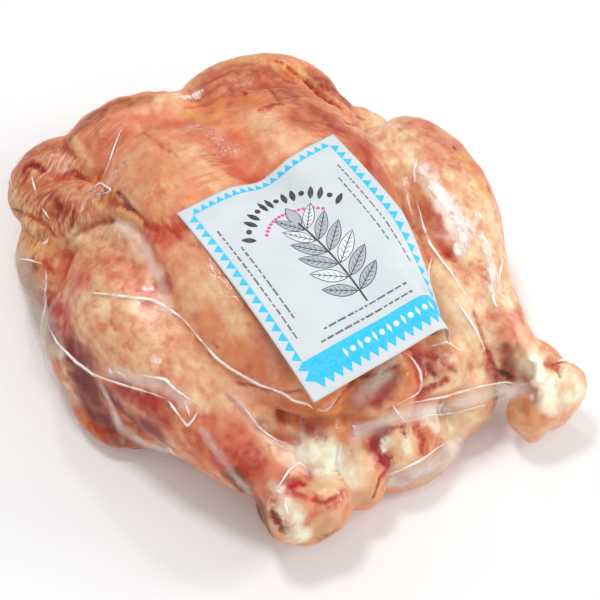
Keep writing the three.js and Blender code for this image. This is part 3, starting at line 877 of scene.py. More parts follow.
# %% Lay the marks on
# reach of the widest stain, shares of the reach where a wash starts and is full, and two frayings
STAIN_REACH, WASH_STARTS, WASH_FULL = 4.6, 1.15, 0.3
WIDE_FRAY, FINE_FRAY = 0.45, 0.35
fray = 1 + WIDE_FRAY * hills(skin_points, 7, 61) + FINE_FRAY * hills(skin_points, 3, 62)
blotch = 0.65 + 0.7 * eased(layered(skin_points, 6, 63), -0.3, 0.3)
sink, gristle = np.zeros(len(skin_points)), np.zeros(len(skin_points))
stain_share = np.full(len(skin_points), -1.0)
stain_colours = np.tile(ROSE, (len(skin_points), 1))
for paint, reach, share, depth, places in SKIN_MARKS:
    line = traced(smooth_skin, places)
    if len(line) == 0:
        print("a mark misses the skin:", places[0])
        continue
    touched, gap, _ = near(skin_points, line, reach * 1.6 + 2)
    sink[touched] += depth * eased(gap / (0.75 * reach + 0.8), 1, 0)
    if reach > STAIN_REACH:
        soft = eased(gap * fray[touched] / reach, WASH_STARTS, WASH_FULL)
        cover = np.minimum(1, share * blotch[touched]) * soft
        skin_colours[touched] = washed(skin_colours[touched], cover, paint)
        if paint is BONE:
            gristle[touched] = np.maximum(gristle[touched], cover)
        continue
    rank = share * (1 - gap / max(1.2 * reach, reach + 0.6))
    stronger = rank > stain_share[touched]
    stain_colours[touched[stronger]] = paint
    stain_share[touched[stronger]] = rank[stronger]

# %% Lay the ribs on
# depth of a rib at full strength, and how far the folds stray from even spacing, wide and fine
FULL_RIB, RIB_SWAY, RIB_JITTER = 0.4, 2.4, 0.8
rib_at, rib_share = np.zeros(len(skin_points)), np.zeros(len(skin_points))
for paint, reach, wave, depth, places in SKIN_RIBS:
    line = traced(smooth_skin, places)
    touched, gap, along = near(skin_points, line, reach)
    here = skin_points[touched]
    along = along + RIB_SWAY * hills(here, 13, 71) + RIB_JITTER * hills(here, 5, 73)
    cover = eased(gap / reach, 1, 0.3) * eased(hills(here, 12, 72), -0.6, 0.25) * min(1, depth / FULL_RIB)
    cover = cover * (1 - on_knee[touched])
    uneven = hills(np.column_stack([along / wave * 1.6, 0.11 * here[:, 0], 0.11 * here[:, 1]]), 1, 74)
    trough = eased(uneven, 0.35, -0.35)
    # painted shade: the troughs of the folds are tinted darker
    skin_colours[touched] = washed(skin_colours[touched], 0.4 * cover * trough**2, paint)
    sink[touched] += depth * cover * (2 * trough - 1)
    more = cover > rib_share[touched]
    rib_at[touched[more]] = along[more] / wave
    rib_share[touched[more]] = cover[more]

# %% Shape the skin
SWELL, DIMPLE, WRINKLE = 1.0, 0.45, 1.1
skin_normals = normals_of(skin_points, skin_quads)
swell = SWELL * layered(skin_points, 24, 3) + DIMPLE * layered(skin_points, 8, 8)
bent = skin_points + 4 * np.column_stack([hills(skin_points, 14, seed) for seed in (11, 12, 13)])
wrinkle = np.abs(hills(bent * [1.0, 0.4, 1.0], 5.5, 14)) + np.abs(hills(bent * [0.45, 1.0, 1.0], 7.0, 15))
where = eased(hills(skin_points, 34, 16), -0.35, 0.25) * (0.35 + 0.65 * eased(skin_points[:, 1], 40, 95))
where = where * (1 - 0.8 * on_knee)
swell = swell + WRINKLE * where * (wrinkle - 0.3)
skin_points = skin_points + skin_normals * (swell - sink)[:, None]
skin_points = smoothed(skin_points, skin_links, 1, 0.3)

# %% [markdown]
# The hollows of the skin are given painted shade, a deeper red, and its ridges painted light, a paler
# cream. How far a point lies below the average of the surface round it tells the two apart.

# %% Paint shade into the hollows and light onto the ridges
skin_normals = normals_of(skin_points, skin_quads)
for rounds, depth, ridge_light_share in ((5, 0.3, 0.35), (30, 1.3, 0.0)):
    below = ((smoothed(skin_points, skin_links, rounds) - skin_points) * skin_normals).sum(axis=1)
    # painted shade in the hollows, then painted light on the ridges
    skin_colours = washed(skin_colours, 0.4 * eased(below, 0.2 * depth, depth), RED)
    skin_colours = washed(skin_colours, ridge_light_share * eased(-below, 0.2 * depth, depth), CREAM)
COLOUR_CONTRAST = 1.12
skin_colours = PEACH * (skin_colours / PEACH) ** COLOUR_CONTRAST

# %% Press the skin under the label and on the table
skin_points = pressed(skin_points, SKIN_UNDER_FILM, SKIN_UNDER_FILM)
chicken = mesh_object("chicken", skin_points, skin_quads.tolist())
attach(chicken, "root")
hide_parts("packed_chicken")
print("skin from", skin_points.min(0).round(1), "to", skin_points.max(0).round(1))


# %% Give each point its colour
def store_colour(thing, name, colours):
    """Keeps a colour for each point of a mesh, for its material to read."""
    layer = thing.data.color_attributes.new(name, "FLOAT_COLOR", "POINT")
    filled = np.column_stack([np.clip(colours, 0, 1), np.ones(len(colours))])
    layer.data.foreach_set("color", filled.ravel())


def store_number(thing, name, numbers):
    """Keeps a number for each point of a mesh, for its material to read."""
    layer = thing.data.attributes.new(name, "FLOAT", "POINT")
    layer.data.foreach_set("value", np.asarray(numbers, np.float32))


store_colour(chicken, "flesh", skin_colours)
store_colour(chicken, "stain", stain_colours)
store_number(chicken, "stain_share", np.maximum(stain_share, 0))
gristle = np.maximum(gristle, eased(-skin_points[:, 1], 72, 84))
mottle = (0.4 + 0.5 * np.maximum(on_leg, eased(broad, 0.1, 0.5))) * (1 - 0.85 * gristle)
store_number(chicken, "mottle", mottle)
store_number(chicken, "rib_at", rib_at)
store_number(chicken, "rib_share", rib_share)

# %% [markdown]
# ## The skin's finish
# The colour of each point is as coarse as the mesh, so the material adds what is finer: mottling of a
# millimetre or two, thin veins and the small pits that the feathers left. Light goes a little way into
# flesh, so the shader has some subsurface scattering.

# %% A short way to add nodes


def add_node(tree, kind, inputs=(), **settings):
    """Adds a shader node. Inputs are named or numbered, and each is a value or another node's output."""
    made = tree.nodes.new("ShaderNode" + kind)
    for name, value in settings.items():
        setattr(made, name, value)
    for name, value in dict(inputs).items():
        if isinstance(value, bpy.types.NodeSocket):
            tree.links.new(value, made.inputs[name])
        else:
            made.inputs[name].default_value = value
    return made


def blended(tree, share, first, second, how="MIX"):
    """The colour of a Mix node between two colours."""
    mix = add_node(tree, "Mix", {0: share, 6: first, 7: second}, data_type="RGBA", blend_type=how)
    return mix.outputs[2]


def ramped(tree, value, low, high, start=0.0, end=1.0):
    """A value eased from start at low to end at high."""
    return add_node(
        tree, "MapRange", {0: value, 1: low, 2: high, 3: start, 4: end}, interpolation_type="SMOOTHSTEP"
    ).outputs[0]


def maths(tree, how, *values):
    """The result of a Math node on two or three values."""
    return add_node(tree, "Math", dict(enumerate(values)), operation=how).outputs[0]


def times(tree, first, second):
    """The product of two values."""
    return maths(tree, "MULTIPLY", first, second)


def stored(tree, name, socket="Fac"):
    """What is kept under a name for each point of the mesh."""
    return add_node(tree, "Attribute", attribute_name=name).outputs[socket]


def stretched(tree, coordinates, share):
    """Coordinates whose Y is multiplied by a share under one, which draws a pattern out along Y."""
    by = (1.0, share, 1.0)
    return add_node(tree, "VectorMath", {0: coordinates, 1: by}, operation="MULTIPLY").outputs[0]


def mixed_shader(tree, share, first, second):
    """A shader that goes from one node's shader to another's by a share."""
    return add_node(tree, "MixShader", {0: share, 1: first.outputs[0], 2: second.outputs[0]})


def noise_of(tree, coordinates, size, **inputs):
    """Noise with hills of a size in millimetres."""
    sockets = {"Vector": coordinates, "Scale": 1 / (size * MM), "Detail": 3.0}
    sockets.update(inputs)
    return add_node(tree, "TexNoise", sockets).outputs["Fac"]


def new_finish(name):
    """A material with an empty node tree, its Object coordinates and its output."""
    material = bpy.data.materials.new(name)
    material.use_nodes = True
    tree = material.node_tree
    tree.nodes.clear()
    coordinates = add_node(tree, "TexCoord").outputs["Object"]
    return material, tree, coordinates


def finished(tree, surface):
    """Joins a shader to the material's output."""
    add_node(tree, "OutputMaterial", {"Surface": surface})


def opaque(colour):
    """A colour with full alpha, as sockets take it."""
    return (*(float(c) for c in colour), 1.0)


# %% Skin material
LIGHTER, ROSIER = (1.08, 1.24, 1.28, 1.0), (0.9, 0.66, 0.6, 1.0)
TROUGH_SHADE_TINT, VEIN_TINT = tint(206, 130, 112), flesh(184, 70, 58)
VEIN_HALF = 0.012


def skin_finish():
    """Wet raw skin: the points' colour, mottled by noise, crossed by thin veins, with pits and pores."""
    material, tree, place = new_finish("raw_skin")
    mottle, rib_share = stored(tree, "mottle"), stored(tree, "rib_share")
    marble = noise_of(tree, stretched(tree, place, 0.6), 4.6, Detail=4.0, Roughness=0.55, Distortion=0.4)
    pale = times(tree, ramped(tree, marble, 0.5, 0.66), mottle)
    rosy = times(tree, ramped(tree, marble, 0.52, 0.36), mottle)
    base = blended(tree, pale, stored(tree, "flesh", "Color"), LIGHTER, "MULTIPLY")
    base = blended(tree, rosy, base, ROSIER, "MULTIPLY")
    across = add_node(tree, "CombineXYZ", {"X": stored(tree, "rib_at")}).outputs[0]
    slow = add_node(
        tree, "VectorMath", {0: place, 1: (90, 90, 90), 2: across}, operation="MULTIPLY_ADD"
    ).outputs[0]
    fibre = add_node(
        tree, "TexNoise", {"Vector": slow, "Scale": 2.2, "Detail": 4.0, "Roughness": 0.6}
    ).outputs["Fac"]
    # painted shade in the troughs of the rib folds, and painted light in cream on their ridges
    trough = times(tree, ramped(tree, fibre, 0.5, 0.34, 0.0, 0.9), rib_share)
    ridge = times(tree, ramped(tree, fibre, 0.5, 0.66, 0.0, 0.6), rib_share)
    base = blended(tree, trough, base, opaque(TROUGH_SHADE_TINT), "MULTIPLY")
    base = blended(tree, ridge, base, opaque(CREAM))
    ragged = ramped(tree, noise_of(tree, place, 2.2, Detail=5.0, Roughness=0.62), 0.25, 0.75, 0.45, 1.6)
    stained = ramped(tree, times(tree, stored(tree, "stain_share"), ragged), 0.02, 0.8, 0.0, 0.95)
    base = blended(tree, stained, base, stored(tree, "stain", "Color"))
    off_mean = maths(tree, "SUBTRACT", noise_of(tree, place, 9.0, Detail=4.0, Distortion=0.8), 0.5)
    before, after = ramped(tree, off_mean, -VEIN_HALF, 0.0), ramped(tree, off_mean, 0.0, VEIN_HALF)
    where = ramped(tree, noise_of(tree, place, 22.0), 0.5, 0.62, 0.0, 0.18)
    vein = times(tree, maths(tree, "SUBTRACT", before, after), where)
    base = blended(tree, vein, base, opaque(VEIN_TINT))
    pores = add_node(tree, "TexVoronoi", {"Vector": place, "Scale": 1 / (3.4 * MM), "Randomness": 0.8})
    pit = ramped(tree, pores.outputs["Distance"], 0.06, 0.3, 1.0, 0.0)
    ring = times(tree, ramped(tree, pores.outputs["Distance"], 0.2, 0.5, 0.5, 0.0), mottle)
    base = blended(tree, ring, base, ROSIER, "MULTIPLY")
    grain = noise_of(tree, place, 1.1, Detail=2.0)
    folds = times(tree, times(tree, fibre, rib_share), 4.0)
    height = maths(tree, "ADD", maths(tree, "ADD", grain, pit), folds)
    bump = add_node(tree, "Bump", {"Height": height, "Strength": 0.25, "Distance": 0.5 * MM})
    shader = add_node(tree, "BsdfPrincipled", {
        "Base Color": base,
        "Roughness": 0.42,
        "IOR": 1.3,
        "Specular IOR Level": 0.25,
        "Subsurface Weight": 0.22,
        "Subsurface Radius": (1.0, 0.35, 0.2),
        "Subsurface Scale": 3.0 * MM,
        "Normal": bump.outputs[0],
    })
    finished(tree, shader.outputs[0])
    return material


chicken.data.materials.append(skin_finish())

# %% [markdown]
# ## The film
# The film starts as one skin round the bird and the hollows it bridges. It is then pulled tight:
# smoothing acts like the film's tension, and Shrinkwrap keeps it outside the flesh. A cloth simulation
# could do the same, but it takes minutes, and this takes seconds and never tears.

# %% Pull the film tight
FILM_GROW, WEB_GROW, FILM_PULLS = 0.6, -0.3, 4
FILM_OFF_SKIN, FILM_OFF_LABEL, FILM_OFF_TABLE = 0.45, 0.25, 0.1
film_points, film_quads = one_skin(surfaces(BIRD, FILM_GROW) + surfaces(WEBS, WEB_GROW), FILM_VOXEL)
film = mesh_object("film_block", film_points, film_quads.tolist())
for turn in range(FILM_PULLS):
    tension = film.modifiers.new(f"tension_{turn}", "SMOOTH")
    tension.factor = 0.5
    tension.iterations = FILM_ROUNDS
    hold = film.modifiers.new(f"hold_{turn}", "SHRINKWRAP")
    hold.target = chicken
    hold.wrap_method = "NEAREST_SURFACEPOINT"
    hold.wrap_mode = "OUTSIDE"
    hold.offset = FILM_OFF_SKIN * MM
film_points, film_quads = read_mesh(film)
bpy.data.objects.remove(film)
film_points = pressed(film_points, FILM_OFF_LABEL, FILM_OFF_TABLE)
print("film:", len(film_quads), "quads, from", film_points.min(0).round(1), "to", film_points.max(0).round(1))


# %% How far the film is from the skin
def gap_to(points, quads, target):
    """The distance of each point to the nearest place of another object, by a Shrinkwrap that moves a
    copy of the points onto it."""
    probe = mesh_object("probe", points, quads.tolist())
    snap = probe.modifiers.new("snap", "SHRINKWRAP")
    snap.target = target
    snapped, _ = read_mesh(probe)
    bpy.data.objects.remove(probe)
    return np.linalg.norm(snapped - points, axis=1)


film_gap = gap_to(film_points, film_quads, chicken)
print("film's gap, middle and most:", np.median(film_gap).round(2), film_gap.max().round(1))

# %% [markdown]
# Where the film is off the flesh it isn't smooth, but falls into flat facets with sharp folds between
# them. The absolute value of noise has such folds, and its slope on each side is nearly even.

# %% Fold the loose film
TIGHT_GAP, LOOSE_GAP = 1.2, 5.0
FOLD_SLOPE, FOLD_MIDDLE, FOLD_MOST = 2.6, 1.3, 1.1
looseness = eased(film_gap, TIGHT_GAP, LOOSE_GAP)
bent = film_points + 5 * np.column_stack([hills(film_points, 22, seed) for seed in (44, 45, 46)])
folds = np.abs(hills(bent * [1.0, 0.55, 1.0], 15, 47)) + 0.5 * np.abs(hills(bent * [0.5, 1.0, 1.0], 8, 48))
film_normals = normals_of(film_points, film_quads)
fold_height = looseness * np.clip(FOLD_SLOPE * folds - FOLD_MIDDLE, -FOLD_MOST, FOLD_MOST)
film_points = film_points + film_normals * fold_height[:, None]
film_points = pressed(film_points, FILM_OFF_LABEL, FILM_OFF_TABLE)
film = mesh_object("film", film_points, film_quads.tolist())
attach(film, "root")
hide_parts("packed_chicken")

# %% [markdown]
# ## Milky places on the film
# Tight film is clear. Where it stands off the flesh, or has bubbles of air and drops of juice under it,
# it is milky. The gap gives the first kind, and a list of places the second. Three more lists follow:
# frost, which is small bubbles; glare, which is painted highlights in torn white flecks on the film; and
# painted shade, a dull brown veil painted where the film hangs low beside the leg over the shadow under it.

# %% Milk, frost, painted glare and painted shade
# strength, reach in millimetres, line of places
FILM_MILK = [
    (0.42, 4.0, [(110, 372), (140, 380), (165, 387), (186, 399)]),
    (0.5, 2.6, [(102, 388), (112, 406), (120, 428), (146, 444), (172, 452)]),
    (0.5, 4.5, [(42, 302), (48, 330), (60, 352)]),
    (0.36, 2.2, [(202, 430), (216, 450), (232, 472), (248, 492)]),
    (0.3, 2.2, [(230, 394), (250, 416), (262, 436), (290, 448), (320, 452)]),
    (0.55, 4.5, [(358, 430), (384, 420), (410, 412), (440, 408)]),
    (0.55, 4.4, [(440, 410), (470, 400), (500, 393), (520, 390)]),
    (0.4, 6.0, [(394, 480), (420, 472), (446, 456), (460, 444)]),
    (0.35, 4.0, [(360, 398), (372, 384), (386, 374)]),
    (0.4, 3.4, [(118, 224), (134, 232), (148, 254), (160, 280), (168, 306)]),
]
FILM_FROST = [
    (0.8, 5.0, [(182, 132), (196, 126), (214, 136), (232, 150)]),
    (0.6, 4.5, [(196, 148), (212, 156), (224, 150)]),
    (1.0, 4.6, [(98, 190), (108, 182), (118, 172), (124, 162)]),
    (0.5, 1.6, [(122, 194), (130, 202), (134, 206)]),
    (0.9, 1.8, [(104, 184), (112, 170), (117, 150), (121, 128)]),
    (0.7, 4.0, [(362, 130), (370, 140), (384, 152), (394, 160)]),
    (0.5, 4.0, [(262, 112), (272, 118)]),
]
# painted highlights: torn white flecks drawn on the film where the lamps' glare lies
FILM_GLARE = [
    (1.0, 2.2, [(420, 168), (426, 175), (434, 186)]),
    (1.3, 3.6, [(434, 186), (440, 193), (448, 202)]),
    (1.3, 4.2, [(448, 202), (456, 213), (461, 226), (464, 240), (460, 249)]),
    (0.9, 2.4, [(479, 216), (474, 228), (468, 240)]),
    (0.9, 3.2, [(482, 238), (488, 250), (492, 262), (493, 276), (492, 290)]),
    (1.0, 2.2, [(110, 371), (118, 372), (126, 377)]),
    (0.9, 1.6, [(138, 276), (142, 275)]),
    (1.0, 1.8, [(144, 288), (151, 288)]),
    (0.9, 1.8, [(152, 355), (158, 362)]),
    (1.0, 1.8, [(166, 446), (171, 450)]),
    (1.0, 1.8, [(352, 426), (357, 429)]),
    (1.0, 2.2, [(383, 441), (384, 450)]),
    (1.0, 3.0, [(184, 98), (192, 96), (202, 92)]),
    (0.9, 2.0, [(19, 278), (21, 290), (24, 300)]),
]
# painted shade: the low film beside the near leg, tinted brown as if over the shadow under it
FILM_PAINTED_SHADE = [
    (0.75, 9.0, [(20, 266), (28, 290), (38, 318), (50, 342)]),
]


film_surface = BVHTree.FromPolygons(film_points.tolist(), film_quads.tolist())
film_fray = 1 + 0.5 * hills(film_points, 6, 81) + 0.25 * hills(film_points, 2.5, 82)


def film_share(places):
    """How much each point of the film belongs to a list of frayed places."""
    total = np.zeros(len(film_points))
    for strength, reach, line in places:
        path = traced(film_surface, line)
        if len(path) == 0:
            print("a place misses the film:", line[0])
            continue
        touched, gap, _ = near(film_points, path, reach * 1.6)
        cover = strength * eased(gap * film_fray[touched] / reach, 1.2, 0.2)
        total[touched] = np.maximum(total[touched], cover)
    return total


LOOSE_MILK = 0.02
milk = np.maximum(LOOSE_MILK * eased(film_gap, 3.0, 9.0), film_share(FILM_MILK))
store_number(film, "milk", milk)
store_number(film, "loose", looseness)
for name, places in (("frost", FILM_FROST), ("glare", FILM_GLARE), ("painted_shade", FILM_PAINTED_SHADE)):
    store_number(film, name, film_share(places))
on_breast = eased(film_points[:, 1], 10, 50) * eased(film_points[:, 0], -72, -58)
on_breast = on_breast * (1 - leg_share(film_points))
on_wing = eased(film_points[:, 1], 55, 75) * eased(-film_points[:, 0], 76, 88)
store_number(film, "wet", 1 - 0.75 * on_breast - 0.5 * on_wing)


# %% Film material
MOST_SHINE = 0.06
TORN_SHARE, GLARE_LOW, GLARE_HIGH = 3.4, 1.95, 3.15
CLOUD_TINT, PAINTED_SHADE_TINT = tint(250, 240, 232), tint(168, 150, 122)


def film_finish():
    """Clear film: what is behind it shows through, and a sharp reflection lies on top, stronger at a
    slant. Milk adds a soft white, frost small bright bubbles, glare painted highlight flecks and
    painted shade a brown veil."""
    material, tree, place = new_finish("clear_film")
    crinkle = noise_of(tree, place, 5.0, Detail=5.0, Roughness=0.55, Distortion=0.6)
    shift = noise_of(tree, place, 12.0, Detail=1.0)
    facets = add_node(tree, "TexVoronoi", {
        "Vector": blended(tree, 0.004, place, shift, "ADD"), "Scale": 1 / (9.0 * MM),
    }, feature="DISTANCE_TO_EDGE").outputs["Distance"]
    facet = times(tree, ramped(tree, facets, 0.0, 0.4), stored(tree, "loose"))
    pucker = times(tree, noise_of(tree, place, 1.6, Detail=4.0, Roughness=0.6), 0.45)
    height = maths(tree, "MULTIPLY_ADD", facet, 1.2, maths(tree, "ADD", crinkle, pucker))
    bump = add_node(tree, "Bump", {"Height": height, "Strength": 0.5, "Distance": 0.9 * MM}).outputs[0]
    slant = times(tree, add_node(tree, "Fresnel", {"IOR": 1.45, "Normal": bump}).outputs[0], 1.3)
    shine = times(tree, maths(tree, "MINIMUM", slant, MOST_SHINE), stored(tree, "wet"))
    clear = add_node(tree, "BsdfTransparent")
    gloss = add_node(tree, "BsdfGlossy", {"Roughness": 0.1, "Normal": bump})
    sheet = mixed_shader(tree, shine, clear, gloss)
    # painted shade turns the white towards brown, and glare paints white highlight flecks
    painted_shade, glare = stored(tree, "painted_shade"), stored(tree, "glare")
    cloud = blended(tree, painted_shade, opaque(CLOUD_TINT), opaque(PAINTED_SHADE_TINT))
    white = add_node(tree, "BsdfPrincipled", {"Base Color": cloud, "Roughness": 0.3})
    streaks = ramped(tree, noise_of(tree, place, 7.0, Detail=3.0, Roughness=0.5), 0.3, 0.7, 0.6, 1.1)
    bubbles = add_node(tree, "TexVoronoi", {"Vector": place, "Scale": 1 / (1.4 * MM)}).outputs["Distance"]
    frosty = times(tree, stored(tree, "frost"), ramped(tree, bubbles, 0.12, 0.34, 0.9, 0.1))
    # the glare's painted highlights are torn into flecks by stretched noise
    torn = noise_of(tree, stretched(tree, place, 0.5), 3.0, Detail=6.0, Roughness=0.65)
    ragged = maths(tree, "MULTIPLY_ADD", torn, TORN_SHARE, glare)
    flecks = ramped(tree, ragged, GLARE_LOW, GLARE_HIGH, 0.0, 0.9)
    glaring = times(tree, flecks, ramped(tree, glare, 0.0, 0.2))
    cloudy = times(tree, stored(tree, "milk"), streaks)
    for share in (frosty, glaring, times(tree, painted_shade, streaks)):
        cloudy = maths(tree, "MAXIMUM", cloudy, share)
    finished(tree, mixed_shader(tree, cloudy, sheet, white).outputs[0])
    return material


film.data.materials.append(film_finish())

# %% [markdown]
# ## Pleats in the film
# Where the film is pulled from one high place to another it gathers into thin pleats. Their white is
# partly the milk of gathered film and partly a painted highlight, the glint a pleat catches drawn as
# colour. Each is a slim ridge that lies half in the film and tapers to nothing. The first list is drawn
# in the camera's picture, and the second goes round the sides that this camera misses.

# %% Pleats
# width and height in millimetres, line of places
PLEATS = [
    (0.8, 0.5, [(80, 292), (104, 294), (132, 297), (152, 300), (168, 308), (182, 318), (196, 334)]),
    (0.9, 0.6, [(190, 328), (204, 344), (216, 358), (230, 368), (246, 378), (262, 386), (282, 392)]),
    (0.9, 0.6, [(268, 388), (284, 394), (296, 402), (306, 403), (314, 409)]),
    (0.8, 0.5, [(44, 318), (58, 344), (76, 362), (94, 375), (120, 384), (150, 393), (166, 399)]),
    (0.7, 0.5, [(138, 374), (152, 377), (165, 379), (176, 390), (190, 400), (202, 405)]),
    (0.7, 0.5, [(168, 400), (174, 409), (181, 418)]),
    (0.7, 0.5, [(178, 416), (188, 426), (195, 418), (198, 410)]),
    (0.6, 0.4, [(184, 400), (188, 410), (190, 418)]),
    (0.5, 0.4, [(30, 171), (33, 182), (37, 196)]),
    (0.45, 0.35, [(41, 207), (46, 214), (49, 219)]),
    (0.5, 0.4, [(49, 236), (46, 242), (40, 244)]),
    (0.5, 0.35, [(93, 192), (98, 182), (108, 188), (112, 191), (95, 196)]),
    (0.4, 0.3, [(122, 126), (117, 140), (112, 154), (107, 168), (102, 180)]),
    (0.7, 0.5, [(416, 199), (420, 212), (424, 228), (431, 246), (440, 258), (452, 274), (464, 292),
                (476, 306)]),
    (0.7, 0.45, [(418, 158), (414, 170), (415, 184)]),
    (0.7, 0.5, [(432, 256), (428, 272), (430, 288), (434, 302), (436, 316)]),
    (0.7, 0.5, [(504, 256), (501, 268), (498, 284)]),
    (0.7, 0.5, [(496, 290), (492, 300), (500, 310)]),
    (0.8, 0.6, [(428, 347), (440, 344), (448, 342), (456, 348), (464, 352)]),
    (0.7, 0.4, [(456, 300), (468, 318), (478, 334), (486, 352)]),
    (0.6, 0.4, [(403, 350), (412, 358), (420, 370), (422, 384), (418, 394), (406, 400), (396, 406)]),
    (0.6, 0.4, [(392, 404), (398, 414), (406, 424)]),
    (0.6, 0.4, [(342, 440), (338, 456), (342, 474)]),
    (0.45, 0.35, [(228, 392), (240, 402), (252, 418), (262, 430), (276, 440), (290, 444)]),
    (0.5, 0.35, [(274, 497), (279, 486), (288, 472), (298, 463), (306, 468), (309, 480)]),
    (0.6, 0.4, [(316, 408), (326, 412), (334, 402), (342, 392)]),
    (0.6, 0.4, [(384, 476), (402, 470), (424, 458), (440, 446), (456, 438)]),
    (0.6, 0.4, [(398, 424), (428, 416), (460, 412), (496, 402), (522, 392)]),
    (0.7, 0.4, [(404, 404), (440, 398), (474, 388), (504, 382), (532, 386)]),
    (0.6, 0.4, [(284, 498), (286, 508), (289, 518)]),
    (0.6, 0.4, [(556, 362), (564, 360), (572, 364)]),
    (0.5, 0.4, [(14, 259), (28, 260), (44, 264)]),
    (0.5, 0.4, [(46, 266), (46, 284), (44, 302)]),
]
# width and height in millimetres, line of places as degrees round the bird from +X and heights
PLEATS_ROUND = [
    (0.7, 0.5, [(-8, 40), (2, 44), (12, 40), (22, 32), (30, 26)]),
    (0.6, 0.4, [(6, 30), (14, 24), (20, 14), (24, 6)]),
    (0.8, 0.5, [(34, 30), (44, 30), (54, 34), (64, 34), (72, 28)]),
    (0.6, 0.4, [(50, 26), (58, 20), (62, 14), (64, 8)]),
    (0.7, 0.5, [(78, 56), (86, 46), (90, 34), (92, 20), (92, 10)]),
    (0.6, 0.4, [(104, 50), (112, 44), (122, 44), (132, 48)]),
    (0.6, 0.4, [(116, 34), (122, 24), (126, 12)]),
    (0.6, 0.4, [(148, 40), (156, 30), (160, 18), (164, 8)]),
    (0.6, 0.4, [(196, 26), (206, 20), (214, 18), (222, 20)]),
    (0.6, 0.4, [(-40, 22), (-32, 26), (-24, 34), (-16, 38)]),
]
PLEAT_SIDES, PLEAT_WAVE, SIGHT_FROM = 10, 0.35, 300


def traced_round(surface, places):
    """The path on a surface under a line of places seen from outside: from each angle round the bird
    and at each height, a level line of sight runs in to the middle."""
    turn, height = np.radians([p[0] for p in places]), np.array([p[1] for p in places], float)
    even = np.linspace(0, 1, 3 * len(places))
    turn, height = (np.interp(even, np.linspace(0, 1, len(places)), values) for values in (turn, height))
    way_in = -np.column_stack([np.cos(turn), np.sin(turn), 0 * turn])
    starts = np.array([KEEL_X, 0, 0]) - SIGHT_FROM * way_in + np.outer(height, [0, 0, 1])
    hits = [surface.ray_cast(Vector(start), Vector(way))[0] for start, way in zip(starts, way_in)]
    return np.array([hit for hit in hits if hit is not None])


def pleat(width, height, path):
    """A limb along a path on the film, with a slight wave, and how solid it looks at each point: the
    sine of the turn round the section, which is 1 on top and 0 at the sides, times the taper."""
    wave = PLEAT_WAVE * np.column_stack([hills(path, 9, 91), hills(path, 9, 92), 0 * path[:, 0]])
    rings = 6 * len(path)
    t = np.linspace(0, 1, 6)
    taper = 0.3 + 0.7 * np.sin(np.pi * t) ** 0.8
    half = (width * taper * (1 + 0.3 * np.sin(9 * t + width * 7))).tolist()
    rise = (height * taper).tolist()
    points, faces = limb(path + wave, half, rise, blunt=0.6, rings=rings, sides=PLEAT_SIDES)
    along = np.sin(np.pi * (np.arange(rings) + 1) / (rings + 1)) ** 0.5
    round_it = np.abs(np.sin(2 * np.pi * np.arange(PLEAT_SIDES) / PLEAT_SIDES))
    return points, faces, np.concatenate([[0], np.outer(along, round_it).ravel(), [0]])


lines = [(width, height, traced(film_surface, places, step=7.0)) for width, height, places in PLEATS]
lines += [(width, height, traced_round(film_surface, places)) for width, height, places in PLEATS_ROUND]
made_pleats = [pleat(*line) for line in lines if len(line[2]) > 1]
pleats = mesh_object("film_pleats", *joined([made[:2] for made in made_pleats]))
store_number(pleats, "solid", np.concatenate([made[2] for made in made_pleats]))
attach(pleats, "root")
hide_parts("packed_chicken")


def pleat_finish():
    """Gathered film: milky white with a hard shine, and see-through at its sides and in places. The white
    also paints the glint along the fold as a highlight.
    """
    material, tree, place = new_finish("gathered_film_and_painted_glint")
    # the white is partly milky film and partly a painted highlight of the fold's glint
    white = add_node(tree, "BsdfPrincipled", {"Base Color": opaque(tint(252, 246, 240)), "Roughness": 0.18})
    clear = add_node(tree, "BsdfTransparent")
    patchy = ramped(tree, noise_of(tree, place, 6.0, Detail=4.0), 0.3, 0.6, 0.45, 1.0)
    share = ramped(tree, times(tree, stored(tree, "solid"), patchy), 0.15, 1.0, 0.0, 0.95)
    finished(tree, mixed_shader(tree, share, clear, white).outputs[0])
    return material


pleats.data.materials.append(pleat_finish())
print("pleats:", len(pleats.data.polygons), "faces")

# %% [markdown]
# ## The label
# The label is one sheet of paper. Its shape is the formula at the top: flat on the near breast muscle,
# dipping over the keel, and turned down over the far one.

# %% Label sheet
LABEL_THICK, LABEL_OFF_FILM = 0.2, 0.02
LABEL_COLUMNS, LABEL_ROWS = 80, 100


def thin_sheet(u, v, low, high):
    """A closed thin sheet on the label's formula: a grid of places across and down, laid twice, low and
    high along the normal, with a wall round it."""
    middle, out = label_point(u, v), label_normal(u, v)
    top, back = (middle + out * high).reshape(-1, 3), (middle + out * low).reshape(-1, 3)
    number = np.arange(u.size).reshape(u.shape)
    corners = [number[:-1, :-1], number[1:, :-1], number[1:, 1:], number[:-1, 1:]]
    upper = np.stack(corners, axis=-1).reshape(-1, 4)
    lower = upper[:, ::-1] + number.size
    ring = np.concatenate([number[0, :-1], number[:-1, -1], number[-1, :0:-1], number[:0:-1, 0]])
    after = np.roll(ring, -1)
    wall = np.column_stack([ring, after, after + number.size, ring + number.size])
    return np.vstack([top, back]), [*upper.tolist(), *lower.tolist(), *wall.tolist()]


paper_u, paper_v = np.meshgrid(
    np.linspace(0, LABEL_WIDTH, LABEL_COLUMNS + 1), np.linspace(0, LABEL_LENGTH, LABEL_ROWS + 1)
)
label = mesh_object("label_paper", *thin_sheet(paper_u, paper_v, LABEL_OFF_FILM, LABEL_THICK))
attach(label, "root")
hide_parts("label")


